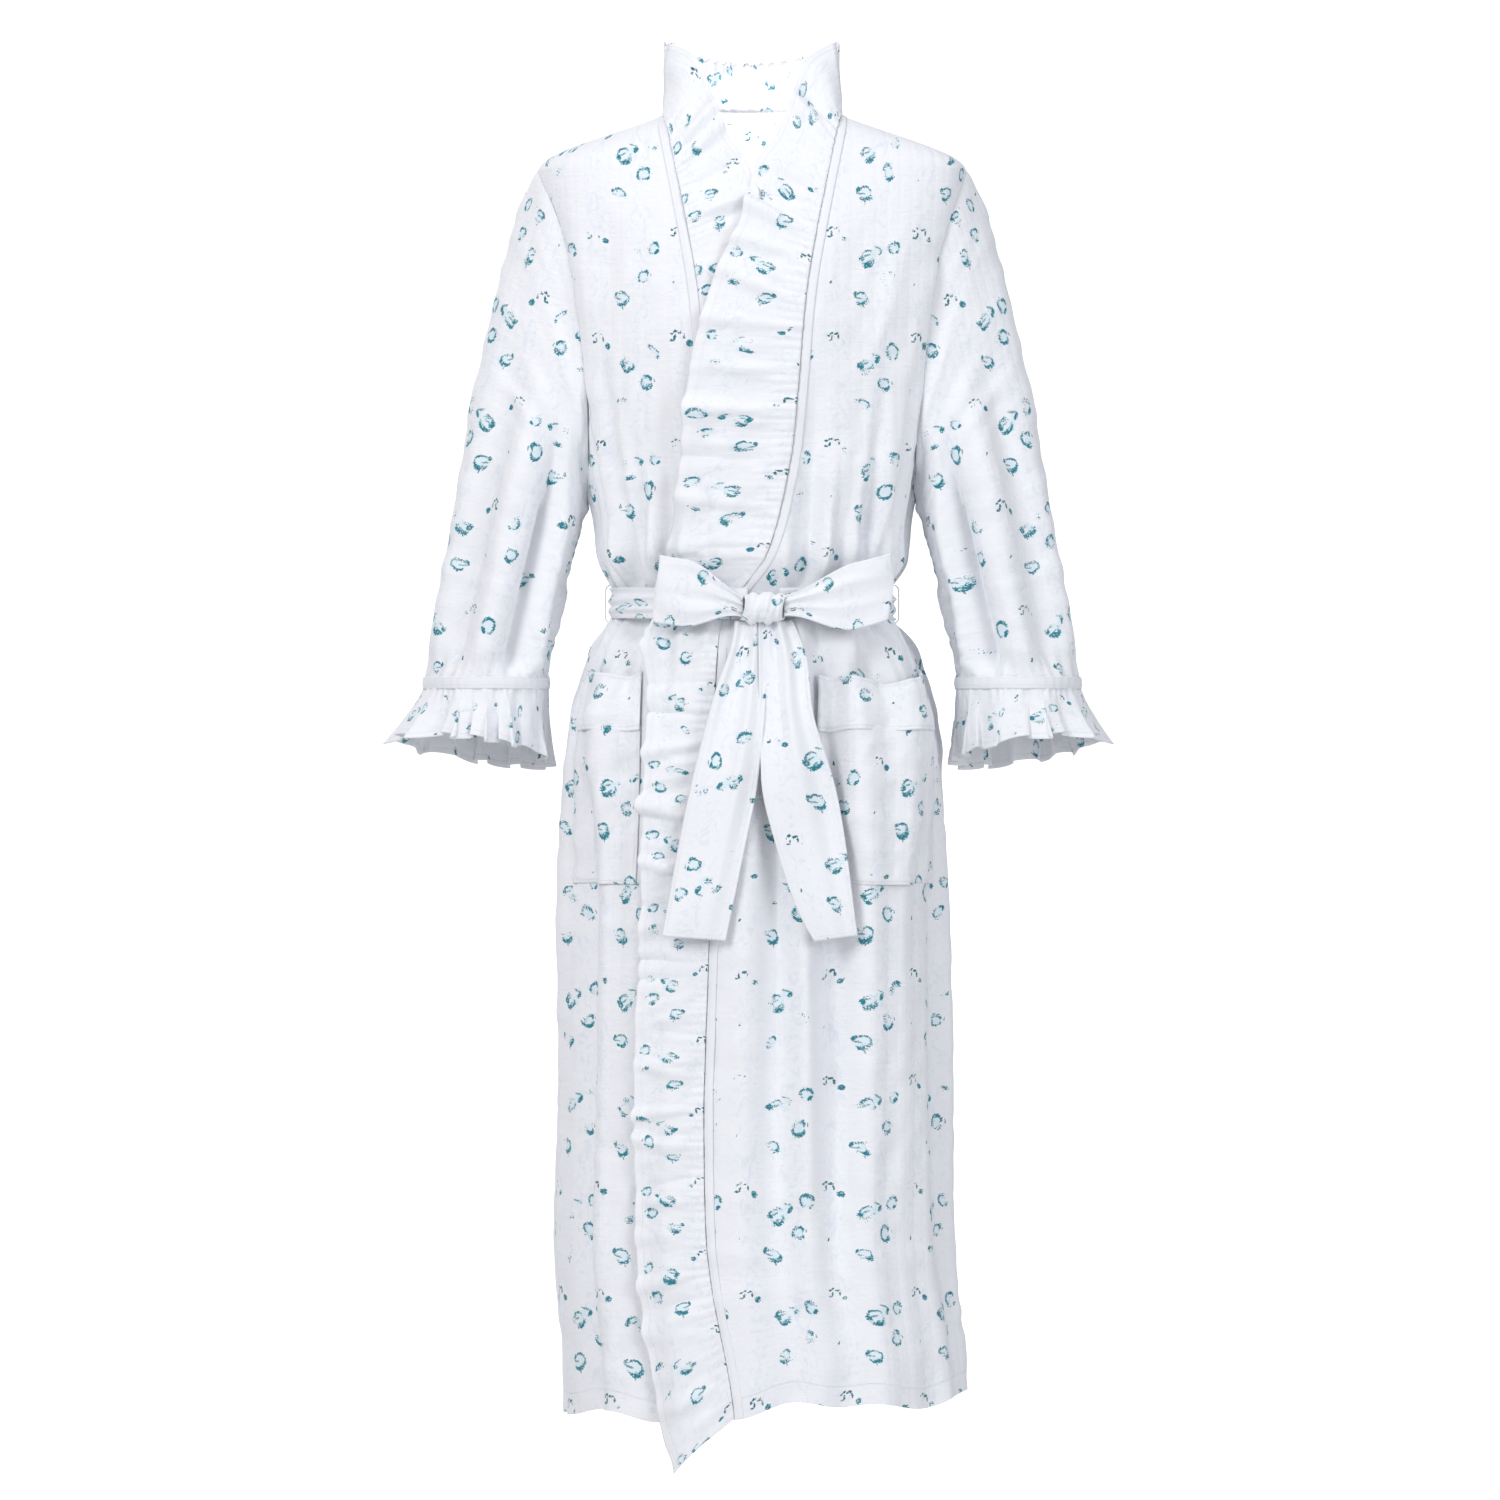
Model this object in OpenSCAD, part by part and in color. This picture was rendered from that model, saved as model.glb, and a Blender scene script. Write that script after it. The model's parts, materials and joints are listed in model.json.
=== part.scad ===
// Wrap-front patient gown with a ruffled collar and front edge, three-quarter sleeves with
// ruffled cuffs, two patch pockets and a tied sash. The gown hangs as worn, with nobody in it.
//
// Frame: +Z is up, the front faces -Y and the wearer's left side is +X. The origin is in the
// middle of the neck base, level with the neck points of the shoulder seams.
// A "drop" is a distance below that level, so a point at drop d has z = -d.

/* [Upper body] */
// Half width of the neck base between the neck points of the shoulder seams
neck_half = 79; // [72:1:88]
// Half width across the shoulder tips
shoulder_half = 194; // [184:1:210]
// Drop of the shoulder tips
shoulder_drop = 50; // [42:1:58]
// Drop of the underarm points, at the bottom of the armholes
underarm_drop = 345; // [320:5:360]
// Half width of the body at the underarm
chest_half = 146; // [138:1:158]
// Half depth of the body at the chest
chest_deep = 112; // [100:1:125]

/* [Waist and skirt] */
// Drop of the waist, at the middle of the sash
waist_drop = 443; // [430:1:455]
// Half width of the waist
waist_half = 122; // [112:1:132]
// Half depth of the waist
waist_deep = 92; // [82:1:102]
// Half width of the skirt at the hips
hip_half = 170; // [158:1:182]
// Half depth of the skirt at the hips
hip_deep = 130; // [118:1:142]
// Drop of the skirt's hem
hem_drop = 1165; // [1100:5:1260]
// Half width of the skirt at the hem
hem_half = 180; // [168:1:200]
// Half depth of the skirt at the hem
hem_deep = 150; // [138:1:165]

/* [Sleeves] */
// Distance from the middle plane to the middle of a cuff
cuff_out = 241; // [235:1:265]
// Drop of the cuff seam
cuff_drop = 512; // [480:2:540]
// Half width of a sleeve at the cuff seam
cuff_half = 56; // [48:1:60]
// Half depth of a sleeve at the cuff seam
cuff_deep = 70; // [60:1:80]
// Height of the stitched band above a cuff ruffle
cuff_band_h = 8; // [6:1:14]
// Height of a cuff ruffle
cuff_ruffle_h = 66; // [45:1:85]
// How far a cuff ruffle flares outwards at its edge
cuff_flare = 20; // [8:1:26]

/* [Sash, pockets and trim] */
// Height of the sash where it is bunched round the waist
sash_h = 26; // [20:1:30]
// Drop of the ends of the sash tails
tail_drop = 743; // [700:1:765]
// Height of a bow loop at its widest
loop_h = 60; // [48:1:70]
// Length of the bow loop on the wearer's right
right_loop_len = 74; // [60:1:84]
// Length of the bow loop on the wearer's left
left_loop_len = 92; // [75:1:100]
// Drop of the pocket mouths
pocket_drop = 505; // [498:1:520]
// Height of a pocket from its mouth to its bottom seam
pocket_h = 190; // [160:1:220]
// Height of the band along a pocket's mouth
pocket_band_h = 52; // [35:1:60]
// How far a pocket stands off the skirt at its mouth
pocket_stand = 22; // [18:1:26]
// Height of the standing collar ruffle at the sides of the neck
collar_h = 66; // [50:1:78]

/* [Cloth] */
// Thickness of one layer of cloth
cloth = 2.5; // [2:0.1:3]
// Distance between the inner faces of the under front and the over front
layer_step = 5.5; // [5.2:0.1:6.5]
// Gap left at a sewn seam between two pieces
seam_gap = 0.8; // [0.8:0.1:1.4]
// Gap between a sleeve and the edge of its armhole
arm_gap = 5.5; // [5:0.5:7]

/* [Hidden] */

CLOTH_COLOUR = "GhostWhite";
BINDING_COLOUR = "White";
SASH_COLOUR = "AliceBlue";

// The body's outline at any drop is a superellipse with this exponent
SQUARE = 2.5;
neck_deep = 58;
row_step = 27;
armhole_half_deep = 62;
armhole_mid = (shoulder_drop + underarm_drop) / 2;
armhole_half_h = (underarm_drop - shoulder_drop) / 2;

// Half width and half depth of the body at a drop
function body_w(d) = lookup(d, [
    [0, neck_half], [shoulder_drop, shoulder_half], [underarm_drop, chest_half],
    [waist_drop, waist_half], [waist_drop + 45, waist_half + 0.4 * (hip_half - waist_half)],
    [waist_drop + 85, waist_half + 0.8 * (hip_half - waist_half)], [waist_drop + 170, hip_half],
    [hem_drop, hem_half]]);
function body_y(d) = lookup(d, [
    [0, neck_deep], [shoulder_drop, 76], [110, chest_deep - 14], [200, chest_deep],
    [underarm_drop, chest_deep - 4], [waist_drop, waist_deep],
    [waist_drop + 45, waist_deep + 0.35 * (hip_deep - waist_deep)],
    [waist_drop + 110, waist_deep + 0.75 * (hip_deep - waist_deep)],
    [waist_drop + 200, hip_deep], [hem_drop, hem_deep]]);

// Distance of the over front's seam and free edge from the middle plane, at a drop. The
// under front has the same two lines, mirrored.
function seam_x(d) = lookup(d, [
    [0, neck_half], [25, neck_half - 5], [75, 64], [160, 49], [260, 40], [315, 34],
    [waist_drop - 45, 12], [waist_drop + 25, -29], [775, -40], [905, -44], [1050, -40],
    [hem_drop, -29]]);
function free_x(d) = lookup(d, [
    [-collar_h, neck_half - 19], [-54, 50], [-10, 34], [22, 21], [43, 5], [62, -2], [103, -13],
    [143, -32], [202, -50], [258, -60], [315, -65], [waist_drop - 45, -76],
    [waist_drop + 25, -92], [waist_drop + 80, -95], [700, -99], [905, -106], [1050, -106],
    [hem_drop, -98], [hem_drop + 50, -83]]);
// Depth of the free edge in front of the neck, where it stands clear of the body
function free_y(d) = lookup(d, [
    [-collar_h, 8], [-54, 18], [-10, 45], [22, 62], [62, 80]]);
// How much higher the free edge lies than the seam it is gathered on to
function free_rise(d) = lookup(d, [[0, collar_h], [25, 40], [75, 32], [125, 25], [200, 8], [260, 0]]);

// How far the over front's corner hangs below the hem
corner_dip = 48;
// The lower corner of the over front folds back along this slanting line
corner_top = 780;
corner_side = 100;
function fold_x(d) = -corner_side + 2 * corner_side * (d - corner_top) / 400;

function smooth(t) = let (c = min(1, max(0, t))) c * c * (3 - 2 * c);
function mix(a, b, t) = a + (b - a) * t;
function sgn_pow(v, p) = sign(v) * pow(abs(v), p);

// A point of the body's surface, moved out by off. Angle 0 is the front, 90 the left side.
function body_point(angle, d, off) = [
    (body_w(d) + off) * sgn_pow(sin(angle), 2 / SQUARE),
    -(body_y(d) + off) * sgn_pow(cos(angle), 2 / SQUARE),
    -d];
// Angle at which the surface has a given x, and at which it has a given distance from y = 0
function angle_of_x(x, d, off) =
    sign(x) * asin(min(1, pow(abs(x) / (body_w(d) + off), SQUARE / 2)));
function angle_of_y(y, d) = acos(min(1, pow(y / body_y(d), SQUARE / 2)));
// Half opening of the armhole at a drop, and the side edge of a front or back panel
function armhole_y(d) = armhole_half_deep *
    sqrt(max(0, 1 - pow((d - armhole_mid) / armhole_half_h, 2)));
function side_angle(d) = angle_of_y(
    abs(d - armhole_mid) < armhole_half_h ? armhole_y(d) + arm_gap : seam_gap, d);

function drops(from, to, step = row_step) =
    let (n = max(1, ceil((to - from) / step))) [for (i = [0:n]) mix(from, to, i / n)];
// Rows of a panel: close together where the armhole's edge turns, wider apart down the skirt
function panel_drops(from) = concat(drops(from, shoulder_drop, 14),
    [for (k = [1:12]) armhole_mid - armhole_half_h * cos(15 * k)],
    [for (d = drops(underarm_drop, hem_drop, 33)) if (d > underarm_drop) d]);

// Normal of a grid of points at row i and column j
function unit(v) = v / max(norm(v), 0.000001);
function grid_normal(g, i, j, wrap) =
    let (ni = len(g) - 1, nj = len(g[0]))
    let (j0 = wrap ? (j + nj - 1) % nj : max(j - 1, 0))
    let (j1 = wrap ? (j + 1) % nj : min(j + 1, nj - 1))
    unit(cross(g[min(i + 1, ni)][j] - g[max(i - 1, 0)][j], g[i][j1] - g[i][j0]));

// A sheet of cloth: the grid's surface thickened from lo to hi along its normal
module sheet(g, lo, hi, wrap = false) {
    nr = len(g);
    nc = len(g[0]);
    last = wrap ? nc - 1 : nc - 2;
    inner = [for (i = [0:nr - 1]) for (j = [0:nc - 1]) g[i][j] + lo * grid_normal(g, i, j, wrap)];
    outer = [for (i = [0:nr - 1]) for (j = [0:nc - 1]) g[i][j] + hi * grid_normal(g, i, j, wrap)];
    n = nr * nc;
    function id(i, j) = i * nc + j % nc;
    skin = [for (i = [0:nr - 2]) for (j = [0:last])
        let (a = id(i, j), b = id(i + 1, j), c = id(i + 1, j + 1), d = id(i, j + 1))
        each [[a, b, c], [a, c, d], [n + a, n + d, n + c], [n + a, n + c, n + b]]];
    ends = [for (j = [0:last])
        let (a = id(0, j), b = id(0, j + 1), c = id(nr - 1, j), d = id(nr - 1, j + 1))
        each [[a, b, n + b], [a, n + b, n + a], [c, n + c, n + d], [c, n + d, d]]];
    sides = wrap ? [] : [for (i = [0:nr - 2])
        let (a = id(i, 0), b = id(i + 1, 0), c = id(i, nc - 1), d = id(i + 1, nc - 1))
        each [[a, n + a, n + b], [a, n + b, b], [c, d, n + d], [c, n + d, n + c]]];
    polyhedron(concat(inner, outer), concat(skin, ends, sides), convexity = 8);
}

// The over front lies one step out, and comes back in at the side seam
function over_off(angle) = layer_step * (1 - smooth((abs(angle) - 58) / 26));

module back_panel() color(CLOTH_COLOUR)
    sheet([for (d = panel_drops(1)) let (s = 180 - side_angle(d))
        [for (k = [0:18]) body_point(mix(s, 360 - s, k / 18), d, 0)]], 0, cloth);

// A front panel between an inner edge at x = edge(d) and the side seam
module right_front() color(CLOTH_COLOUR)
    sheet([for (d = panel_drops(8))
        let (s = -side_angle(d), e = angle_of_x(-seam_x(d) - seam_gap, d, 0))
        [for (k = [0:12]) body_point(mix(s, e, k / 12), d, 0)]], 0, cloth);

function left_edge_x(d) = max(seam_x(d), d > corner_top ? fold_x(d) : -corner_side) + seam_gap;
module left_front() color(CLOTH_COLOUR)
    sheet([for (d = panel_drops(8))
        let (s = side_angle(d), e = angle_of_x(left_edge_x(d), d, layer_step))
        [for (k = [0:12]) let (a = mix(e, s, k / 12)) body_point(a, d, over_off(a))]], 0, cloth);

// A strip of the front between two lines, on the body's surface
function strip(rows, xa, xb, off, n) = [for (i = [0:len(rows) - 1])
    [for (k = [0:n]) let (x = mix(xa[i], xb[i], k / n))
        body_point(angle_of_x(x, rows[i], off), rows[i], off)]];

corner_panel_rows = drops(910, hem_drop);
module corner_panel() color(CLOTH_COLOUR)
    sheet(strip(corner_panel_rows, [for (d = corner_panel_rows) seam_x(d) + seam_gap],
        [for (d = corner_panel_rows) fold_x(d) - 2 * seam_gap], layer_step, 7), 0, cloth);

// A front ruffle from its seam to its free edge, with flutes that grow towards the edge
function flute(d) = sin(d * 14) * sin(d * 5 + 40);
function ruffle_grid(rows, side, off, from, to, n) = [for (d = rows)
    let (df = d - free_rise(d) + (side > 0 ? corner_dip : 6) * smooth((d - 1000) / (hem_drop - 1000)))
    let (xs = seam_x(d) - seam_gap, xf = free_x(df), wave = 2 + 1.7 * flute(d))
    let (calm = smooth(abs(d - waist_drop) / 40 - 0.6))
    let (a = body_point(angle_of_x(xs, d, off), d, off))
    let (b = df > 62 ? body_point(angle_of_x(xf, df, off), df, off) : [xf, -free_y(df) - off, -df])
    let (lo = from(d, xs, xf), hi = to(d, xs, xf))
    [for (k = [0:n]) let (u = mix(lo, hi, k / n), p = mix(a, b, u))
        let (q = d > 150 ? body_point(angle_of_x(p.x, -p.z, off), -p.z, off) : p)
        [side * q.x, q.y - wave * u * calm, q.z]]];

whole = function (d, xs, xf) 1;
none = function (d, xs, xf) 0;
below_fold = function (d, xs, xf) max(0, min(1, (xs - fold_x(d) + 2 * seam_gap) / (xs - xf)));
above_fold = function (d, xs, xf) max(0, min(1, (xs - fold_x(d) - 2 * seam_gap) / (xs - xf)));

module right_ruffle() color(CLOTH_COLOUR)
    sheet(ruffle_grid(drops(1, hem_drop, 22), -1, 0, whole, none, 5), 0, cloth);
module left_ruffle() color(CLOTH_COLOUR)
    sheet(ruffle_grid(drops(1, 876, 22), 1, layer_step, above_fold, none, 6), 0, cloth);
module corner_ruffle() color(CLOTH_COLOUR)
    sheet(ruffle_grid(drops(800, hem_drop, 22), 1, layer_step, whole, below_fold, 6), 0, cloth);

module back_collar() color(CLOTH_COLOUR)
    sheet([for (i = [0:5]) [for (k = [0:44]) let (v = i / 5, a = mix(-86, 86, k / 44))
        let (out = 4 * v * sin(a * 12), top = collar_h - 14 * cos(a))
        [(mix(neck_half, neck_half - 17, v) + out) * sin(a), (neck_deep + 6 * v + out) * cos(a),
            mix(2, top, v)]]], -cloth / 2, cloth / 2);

module neck_binding() color(BINDING_COLOUR)
    sheet([for (z = [-9, 5]) [for (k = [0:30]) let (a = mix(-84, 84, k / 30))
        [(neck_half - 5) * sin(a), (neck_deep - 4) * cos(a), z]]], -0.6, 0.6);

binding_w = 9;
binding_lift = cloth + 1.1;
right_binding_rows = [for (d = panel_drops(34)) min(d, hem_drop - 4)];
module right_binding() color(BINDING_COLOUR)
    sheet(strip(right_binding_rows, [for (d = right_binding_rows) -seam_x(d) - binding_w - 1],
        [for (d = right_binding_rows) -seam_x(d) - 1], binding_lift, 2), 0, 0.8);
left_binding_rows = [for (d = panel_drops(34)) if (d < 870) d];
module left_binding() color(BINDING_COLOUR)
    sheet(strip(left_binding_rows, [for (d = left_binding_rows) seam_x(d) + 1],
        [for (d = left_binding_rows) seam_x(d) + binding_w + 1], layer_step + binding_lift, 2),
        0, 0.8);

// A sleeve runs from the armhole's edge, on the body's side, to the level cuff seam
function armhole_point(a) =
    let (d = armhole_mid - armhole_half_h * cos(a), y = armhole_half_deep * sin(a))
    [arm_gap + body_w(d) * pow(1 - pow(abs(y) / body_y(d), SQUARE), 1 / SQUARE), y, -d];
function cuff_point(a, out, z) = [cuff_out + (cuff_half + out) * cos(a), (cuff_deep + out) * sin(a), z];
module sleeve_shape() sheet([for (i = [0:14]) [for (k = [0:31]) let (t = i / 14, a = k * 360 / 32)
    mix(armhole_point(a), cuff_point(a, 0, -cuff_drop), t)
        + [12, 0, 6] * sin(180 * pow(t, 0.6)) * max(0, cos(a))]], 0, cloth, true);
module cuff_band_shape() sheet([for (i = [0:1]) [for (k = [0:31])
    cuff_point(k * 360 / 32, 0, -cuff_drop - seam_gap - i * cuff_band_h)]], 0, cloth, true);
// A cuff ruffle flares outwards, and hardly at all on the side towards the body
module cuff_ruffle_shape() sheet([for (i = [0:5]) [for (k = [0:47]) let (v = i / 5, a = k * 7.5)
    cuff_point(a, v * (cuff_flare * (0.5 + 0.5 * cos(a)) + (3 + 2 * cos(a)) * sin(6 * a) - 2),
        -cuff_drop - cuff_band_h - cloth - v * (cuff_ruffle_h - 8 * sin(a)))]],
    0, cloth, true);
module mirrored() mirror([1, 0, 0]) children();
module right_sleeve() color(CLOTH_COLOUR) mirrored() sleeve_shape();
module left_sleeve() color(CLOTH_COLOUR) sleeve_shape();
module right_cuff_band() color(BINDING_COLOUR) mirrored() cuff_band_shape();
module left_cuff_band() color(BINDING_COLOUR) cuff_band_shape();
module right_cuff_ruffle() color(CLOTH_COLOUR) mirrored() cuff_ruffle_shape();
module left_cuff_ruffle() color(CLOTH_COLOUR) cuff_ruffle_shape();

// A patch pocket lies on the skirt at its sides and bottom and stands off at its mouth
function pocket_grid(from, to, side, base) = [for (d = drops(pocket_drop + from, pocket_drop + to, 16))
    let (t = (d - pocket_drop) / pocket_h)
    let (x0 = side > 0 ? 56 : -free_x(d) + 3, a0 = angle_of_x(x0, d, base), a1 = 70)
    [for (k = [0:12]) let (u = k / 12)
        body_point(side * mix(side > 0 ? a0 : a1, side > 0 ? a1 : a0, u), d,
            base + pocket_stand * sin(180 * u) * (1 - t * t))]];
right_pocket_base = cloth + 0.5;
left_pocket_base = layer_step + cloth + 0.5;
module right_pocket() color(CLOTH_COLOUR)
    sheet(pocket_grid(pocket_band_h + seam_gap, pocket_h, -1, right_pocket_base), 0, cloth);
module left_pocket() color(CLOTH_COLOUR)
    sheet(pocket_grid(pocket_band_h + seam_gap, pocket_h, 1, left_pocket_base), 0, cloth);
module right_pocket_band() color(CLOTH_COLOUR)
    sheet(pocket_grid(0, pocket_band_h, -1, right_pocket_base), 0, cloth);
module left_pocket_band() color(CLOTH_COLOUR)
    sheet(pocket_grid(0, pocket_band_h, 1, left_pocket_base), 0, cloth);

// The sash's knot sits a little to the wearer's left of the middle
knot_x = 10;
knot_w = 46;
knot_h = 34;
knot_t = 20;
sash_off = 2 * layer_step + 3;
knot_y = -waist_deep - sash_off - knot_t / 2 - 1;
function sash_out(a) = mix(cloth + 0.7, sash_off, smooth((110 - abs(a)) / 60));
module sash_waist() color(SASH_COLOUR)
    sheet([for (d = drops(waist_drop - sash_h / 2, waist_drop + sash_h / 2, 13))
        let (a0 = angle_of_x(knot_x + knot_w / 2 + 2, d, sash_off))
        let (a1 = 360 + angle_of_x(knot_x - knot_w / 2 - 2, d, sash_off))
        [for (k = [0:52]) let (a = mix(a0, a1, k / 52))
            body_point(a, d, sash_out(a > 180 ? a - 360 : a))]], 0, cloth);

module sash_knot() color(SASH_COLOUR)
    translate([knot_x, knot_y, -waist_drop])
        hull()
            for (x = [-1, 1])
                for (z = [-1, 1])
                    translate([x * (knot_w / 2 - knot_t / 2), 0, z * (knot_h / 2 - knot_t / 2)])
                        sphere(d = knot_t, $fn = 20);

// A bow loop is a ribbon that runs out from the knot, turns and comes back
module bow_loop(side, len) color(SASH_COLOUR)
    sheet([for (v = [-1, -0.5, 0, 0.5, 1]) [for (k = [0:28])
        let (a = mix(-160, 160, k / 28), far = (1 + cos(a)) / 2)
        let (h = mix(knot_h * 0.62, loop_h, smooth(far * 1.6)))
        [knot_x + side * (knot_w / 2 + 2 + len * far), knot_y + 8 * sin(a) * pow(cos(a / 2), 0.6),
            -waist_drop + 8 * far - v * h / 2]]], -cloth / 2, cloth / 2);
module right_bow_loop() bow_loop(-1, right_loop_len);
module left_bow_loop() bow_loop(1, left_loop_len);

// The tails hang from under the knot, side by side, and spread as they fall
tail_off = 3 * layer_step;
tail_top = waist_drop + knot_h / 2 + 5;
tail_rows = drops(tail_top, tail_drop, 20);
right_tail_out = [[tail_top, -15], [522, -33], [612, -56], [tail_drop, -81]];
right_tail_in = [[tail_top, 5], [603, 5], [657, -6], [tail_drop, -24]];
left_tail_in = [[tail_top, 7], [598, 7], [657, 21], [720, 43], [tail_drop, 55]];
left_tail_out = [[tail_top, 34], [490, 48], [540, 54], [612, 75], [tail_drop, 94]];
module tail(from, to) color(SASH_COLOUR)
    sheet(strip(tail_rows, [for (d = tail_rows) lookup(d, from)],
        [for (d = tail_rows) lookup(d, to)], tail_off, 5), 0, cloth);
module right_sash_tail() tail(right_tail_out, right_tail_in);
module left_sash_tail() tail(left_tail_in, left_tail_out);

// Narrow thread loops on the side seams hold the sash
belt_loop_w = 7;
belt_loop_x = body_w(waist_drop + sash_h / 2 + 4) + cloth + 0.6;
belt_loop_out = 8;
module belt_loop(side) color(BINDING_COLOUR)
    translate([side * (belt_loop_x + belt_loop_out / 2), 0, -waist_drop])
        difference() {
            cube([belt_loop_out, belt_loop_w, sash_h + 8], center = true);
            translate([-side * 1.5, 0, 0])
                cube([belt_loop_out, belt_loop_w + 2, sash_h + 3], center = true);
        }
module right_belt_loop() belt_loop(-1);
module left_belt_loop() belt_loop(1);

// A cloth loop inside the back of the neck hangs the gown on a hook
hanger_w = 46;
hanger_h = 34;
hanger_band = 7;
module hanger_loop() color(BINDING_COLOUR)
    translate([0, neck_deep - 9, -20])
        rotate([90, 0, 0])
            linear_extrude(1.2)
                difference() {
                    square([hanger_w, hanger_h], center = true);
                    square([hanger_w - 2 * hanger_band, hanger_h - 2 * hanger_band], center = true);
                }

back_panel();
right_front();
left_front();
corner_panel();
right_ruffle();
left_ruffle();
corner_ruffle();
back_collar();
neck_binding();
right_binding();
left_binding();
right_sleeve();
left_sleeve();
right_cuff_band();
left_cuff_band();
right_cuff_ruffle();
left_cuff_ruffle();
right_pocket();
left_pocket();
right_pocket_band();
left_pocket_band();
sash_waist();
sash_knot();
right_bow_loop();
left_bow_loop();
right_sash_tail();
left_sash_tail();
right_belt_loop();
left_belt_loop();
hanger_loop();
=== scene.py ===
"""Looks of the wrap-front gown: printed seersucker sheets with folds, ruffles, pockets and a sash.

Everything is in metres in the frame of the CAD model: +Z up, the front faces -Y. A drop is a
distance below the neck points, so a point at drop d has z = -d.
"""

import json
import math

import bpy
import mathutils
import numpy as np
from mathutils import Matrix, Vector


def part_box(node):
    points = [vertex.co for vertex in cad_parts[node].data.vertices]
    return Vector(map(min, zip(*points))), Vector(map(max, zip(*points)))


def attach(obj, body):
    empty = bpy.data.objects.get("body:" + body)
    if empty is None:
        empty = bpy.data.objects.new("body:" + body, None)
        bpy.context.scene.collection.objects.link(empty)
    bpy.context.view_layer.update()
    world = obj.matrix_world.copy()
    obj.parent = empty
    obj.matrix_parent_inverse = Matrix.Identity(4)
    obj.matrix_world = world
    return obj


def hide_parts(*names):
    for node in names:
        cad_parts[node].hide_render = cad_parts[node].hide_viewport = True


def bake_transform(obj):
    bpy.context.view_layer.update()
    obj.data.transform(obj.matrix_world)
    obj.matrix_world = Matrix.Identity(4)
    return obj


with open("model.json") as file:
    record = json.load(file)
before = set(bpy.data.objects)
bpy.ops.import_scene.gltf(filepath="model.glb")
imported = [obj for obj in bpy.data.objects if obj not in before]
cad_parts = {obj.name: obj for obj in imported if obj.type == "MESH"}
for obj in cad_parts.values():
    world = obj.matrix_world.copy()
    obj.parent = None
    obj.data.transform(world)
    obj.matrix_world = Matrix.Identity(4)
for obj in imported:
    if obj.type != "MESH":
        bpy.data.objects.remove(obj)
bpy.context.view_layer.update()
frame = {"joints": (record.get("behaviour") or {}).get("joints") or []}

MM = 0.001
TAU = 2 * math.pi


# --- numbers shared with the CAD
def curve(*stations):
    """A smooth curve through (place, value) stations that never overshoots them."""
    x = np.array([s[0] for s in stations], float)
    y = np.array([s[1] for s in stations], float)
    slope = np.diff(y) / np.diff(x)
    tangent = np.concatenate([[slope[0]], (slope[:-1] + slope[1:]) / 2, [slope[-1]]])
    for i in range(1, len(x) - 1):
        if slope[i - 1] * slope[i] <= 0:
            tangent[i] = 0
        else:
            limit = 2.5 * min(abs(slope[i - 1]), abs(slope[i]))
            tangent[i] = np.clip(tangent[i], -limit, limit)

    def value(at):
        at = np.clip(np.asarray(at, float), x[0], x[-1])
        i = np.clip(np.searchsorted(x, at, side="right") - 1, 0, len(x) - 2)
        h = x[i + 1] - x[i]
        t = (at - x[i]) / h
        return ((2 * t**3 - 3 * t**2 + 1) * y[i] + (t**3 - 2 * t**2 + t) * h * tangent[i]
                + (3 * t**2 - 2 * t**3) * y[i + 1] + (t**3 - t**2) * h * tangent[i + 1])

    return value


# Half-widths, drops and depths in mm, as in part.scad
NECK, SHOULDER, CHEST, WAIST, HIP, HEM_W = 79, 194, 146, 122, 170, 180
NECK_DEEP = 58
SHOULDER_DROP, UNDERARM, WAIST_DROP, HEM = 50, 345, 443, 1165
SQUARE = 2.5
ARM_DEEP = 62
ARM_MID = (SHOULDER_DROP + UNDERARM) / 2
ARM_HALF = (UNDERARM - SHOULDER_DROP) / 2
CUFF_OUT, CUFF_DROP, CUFF_HALF, CUFF_DEEP = 241, 512, 56, 70
CUFF_RUFFLE_H = 66
COLLAR = 66
TAIL_DROP = 743
LAYER = 4.5  # how far the over front stands out from the under one

body_w = curve((0, NECK), (SHOULDER_DROP, SHOULDER), (130, 181), (UNDERARM, CHEST), (WAIST_DROP, WAIST),
               (488, 141), (528, 160), (613, HIP), (900, 175), (HEM, HEM_W), (1300, 183))
body_y = curve((0, NECK_DEEP), (SHOULDER_DROP, 76), (110, 98), (200, 112), (UNDERARM, 108),
               (WAIST_DROP, 92),
               (488, 105), (553, 120), (643, 130), (900, 140), (HEM, 150), (1300, 152))
seam_x = curve((0, NECK), (25, 74), (75, 64), (160, 49), (260, 40), (315, 34), (398, 12), (468, -29),
               (775, -40), (905, -44), (1050, -40), (HEM, -29), (1300, -24))
free_x = curve((-COLLAR, 75), (-60, 62), (-50, 50), (-10, 34), (22, 21), (43, 5), (62, -2), (103, -13),
               (143, -32), (202, -50), (258, -60), (315, -65), (398, -76), (468, -92), (523, -95),
               (700, -99), (905, -106), (1050, -106), (HEM, -98), (1215, -83), (1300, -80))
free_y = curve((-COLLAR, 3), (-60, 10), (-50, 20), (-10, 45), (22, 62), (62, 80))
free_rise = curve((0, COLLAR), (25, 40), (75, 32), (125, 25), (200, 8), (260, 0))


def smooth(t):
    t = np.clip(t, 0, 1)
    return t * t * (3 - 2 * t)


def mix(a, b, t):
    return a + (b - a) * t


def body_point(angle, d, off):
    """A point of the body's surface in mm. Angle 0 is the front, 90 the wearer's left side."""
    s, c = np.sin(np.radians(angle)), np.cos(np.radians(angle))
    power = 2 / SQUARE
    return np.stack([(body_w(d) + off) * np.sign(s) * np.abs(s) ** power,
                     -(body_y(d) + off) * np.sign(c) * np.abs(c) ** power,
                     -d * np.ones_like(s)], -1)


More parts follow.
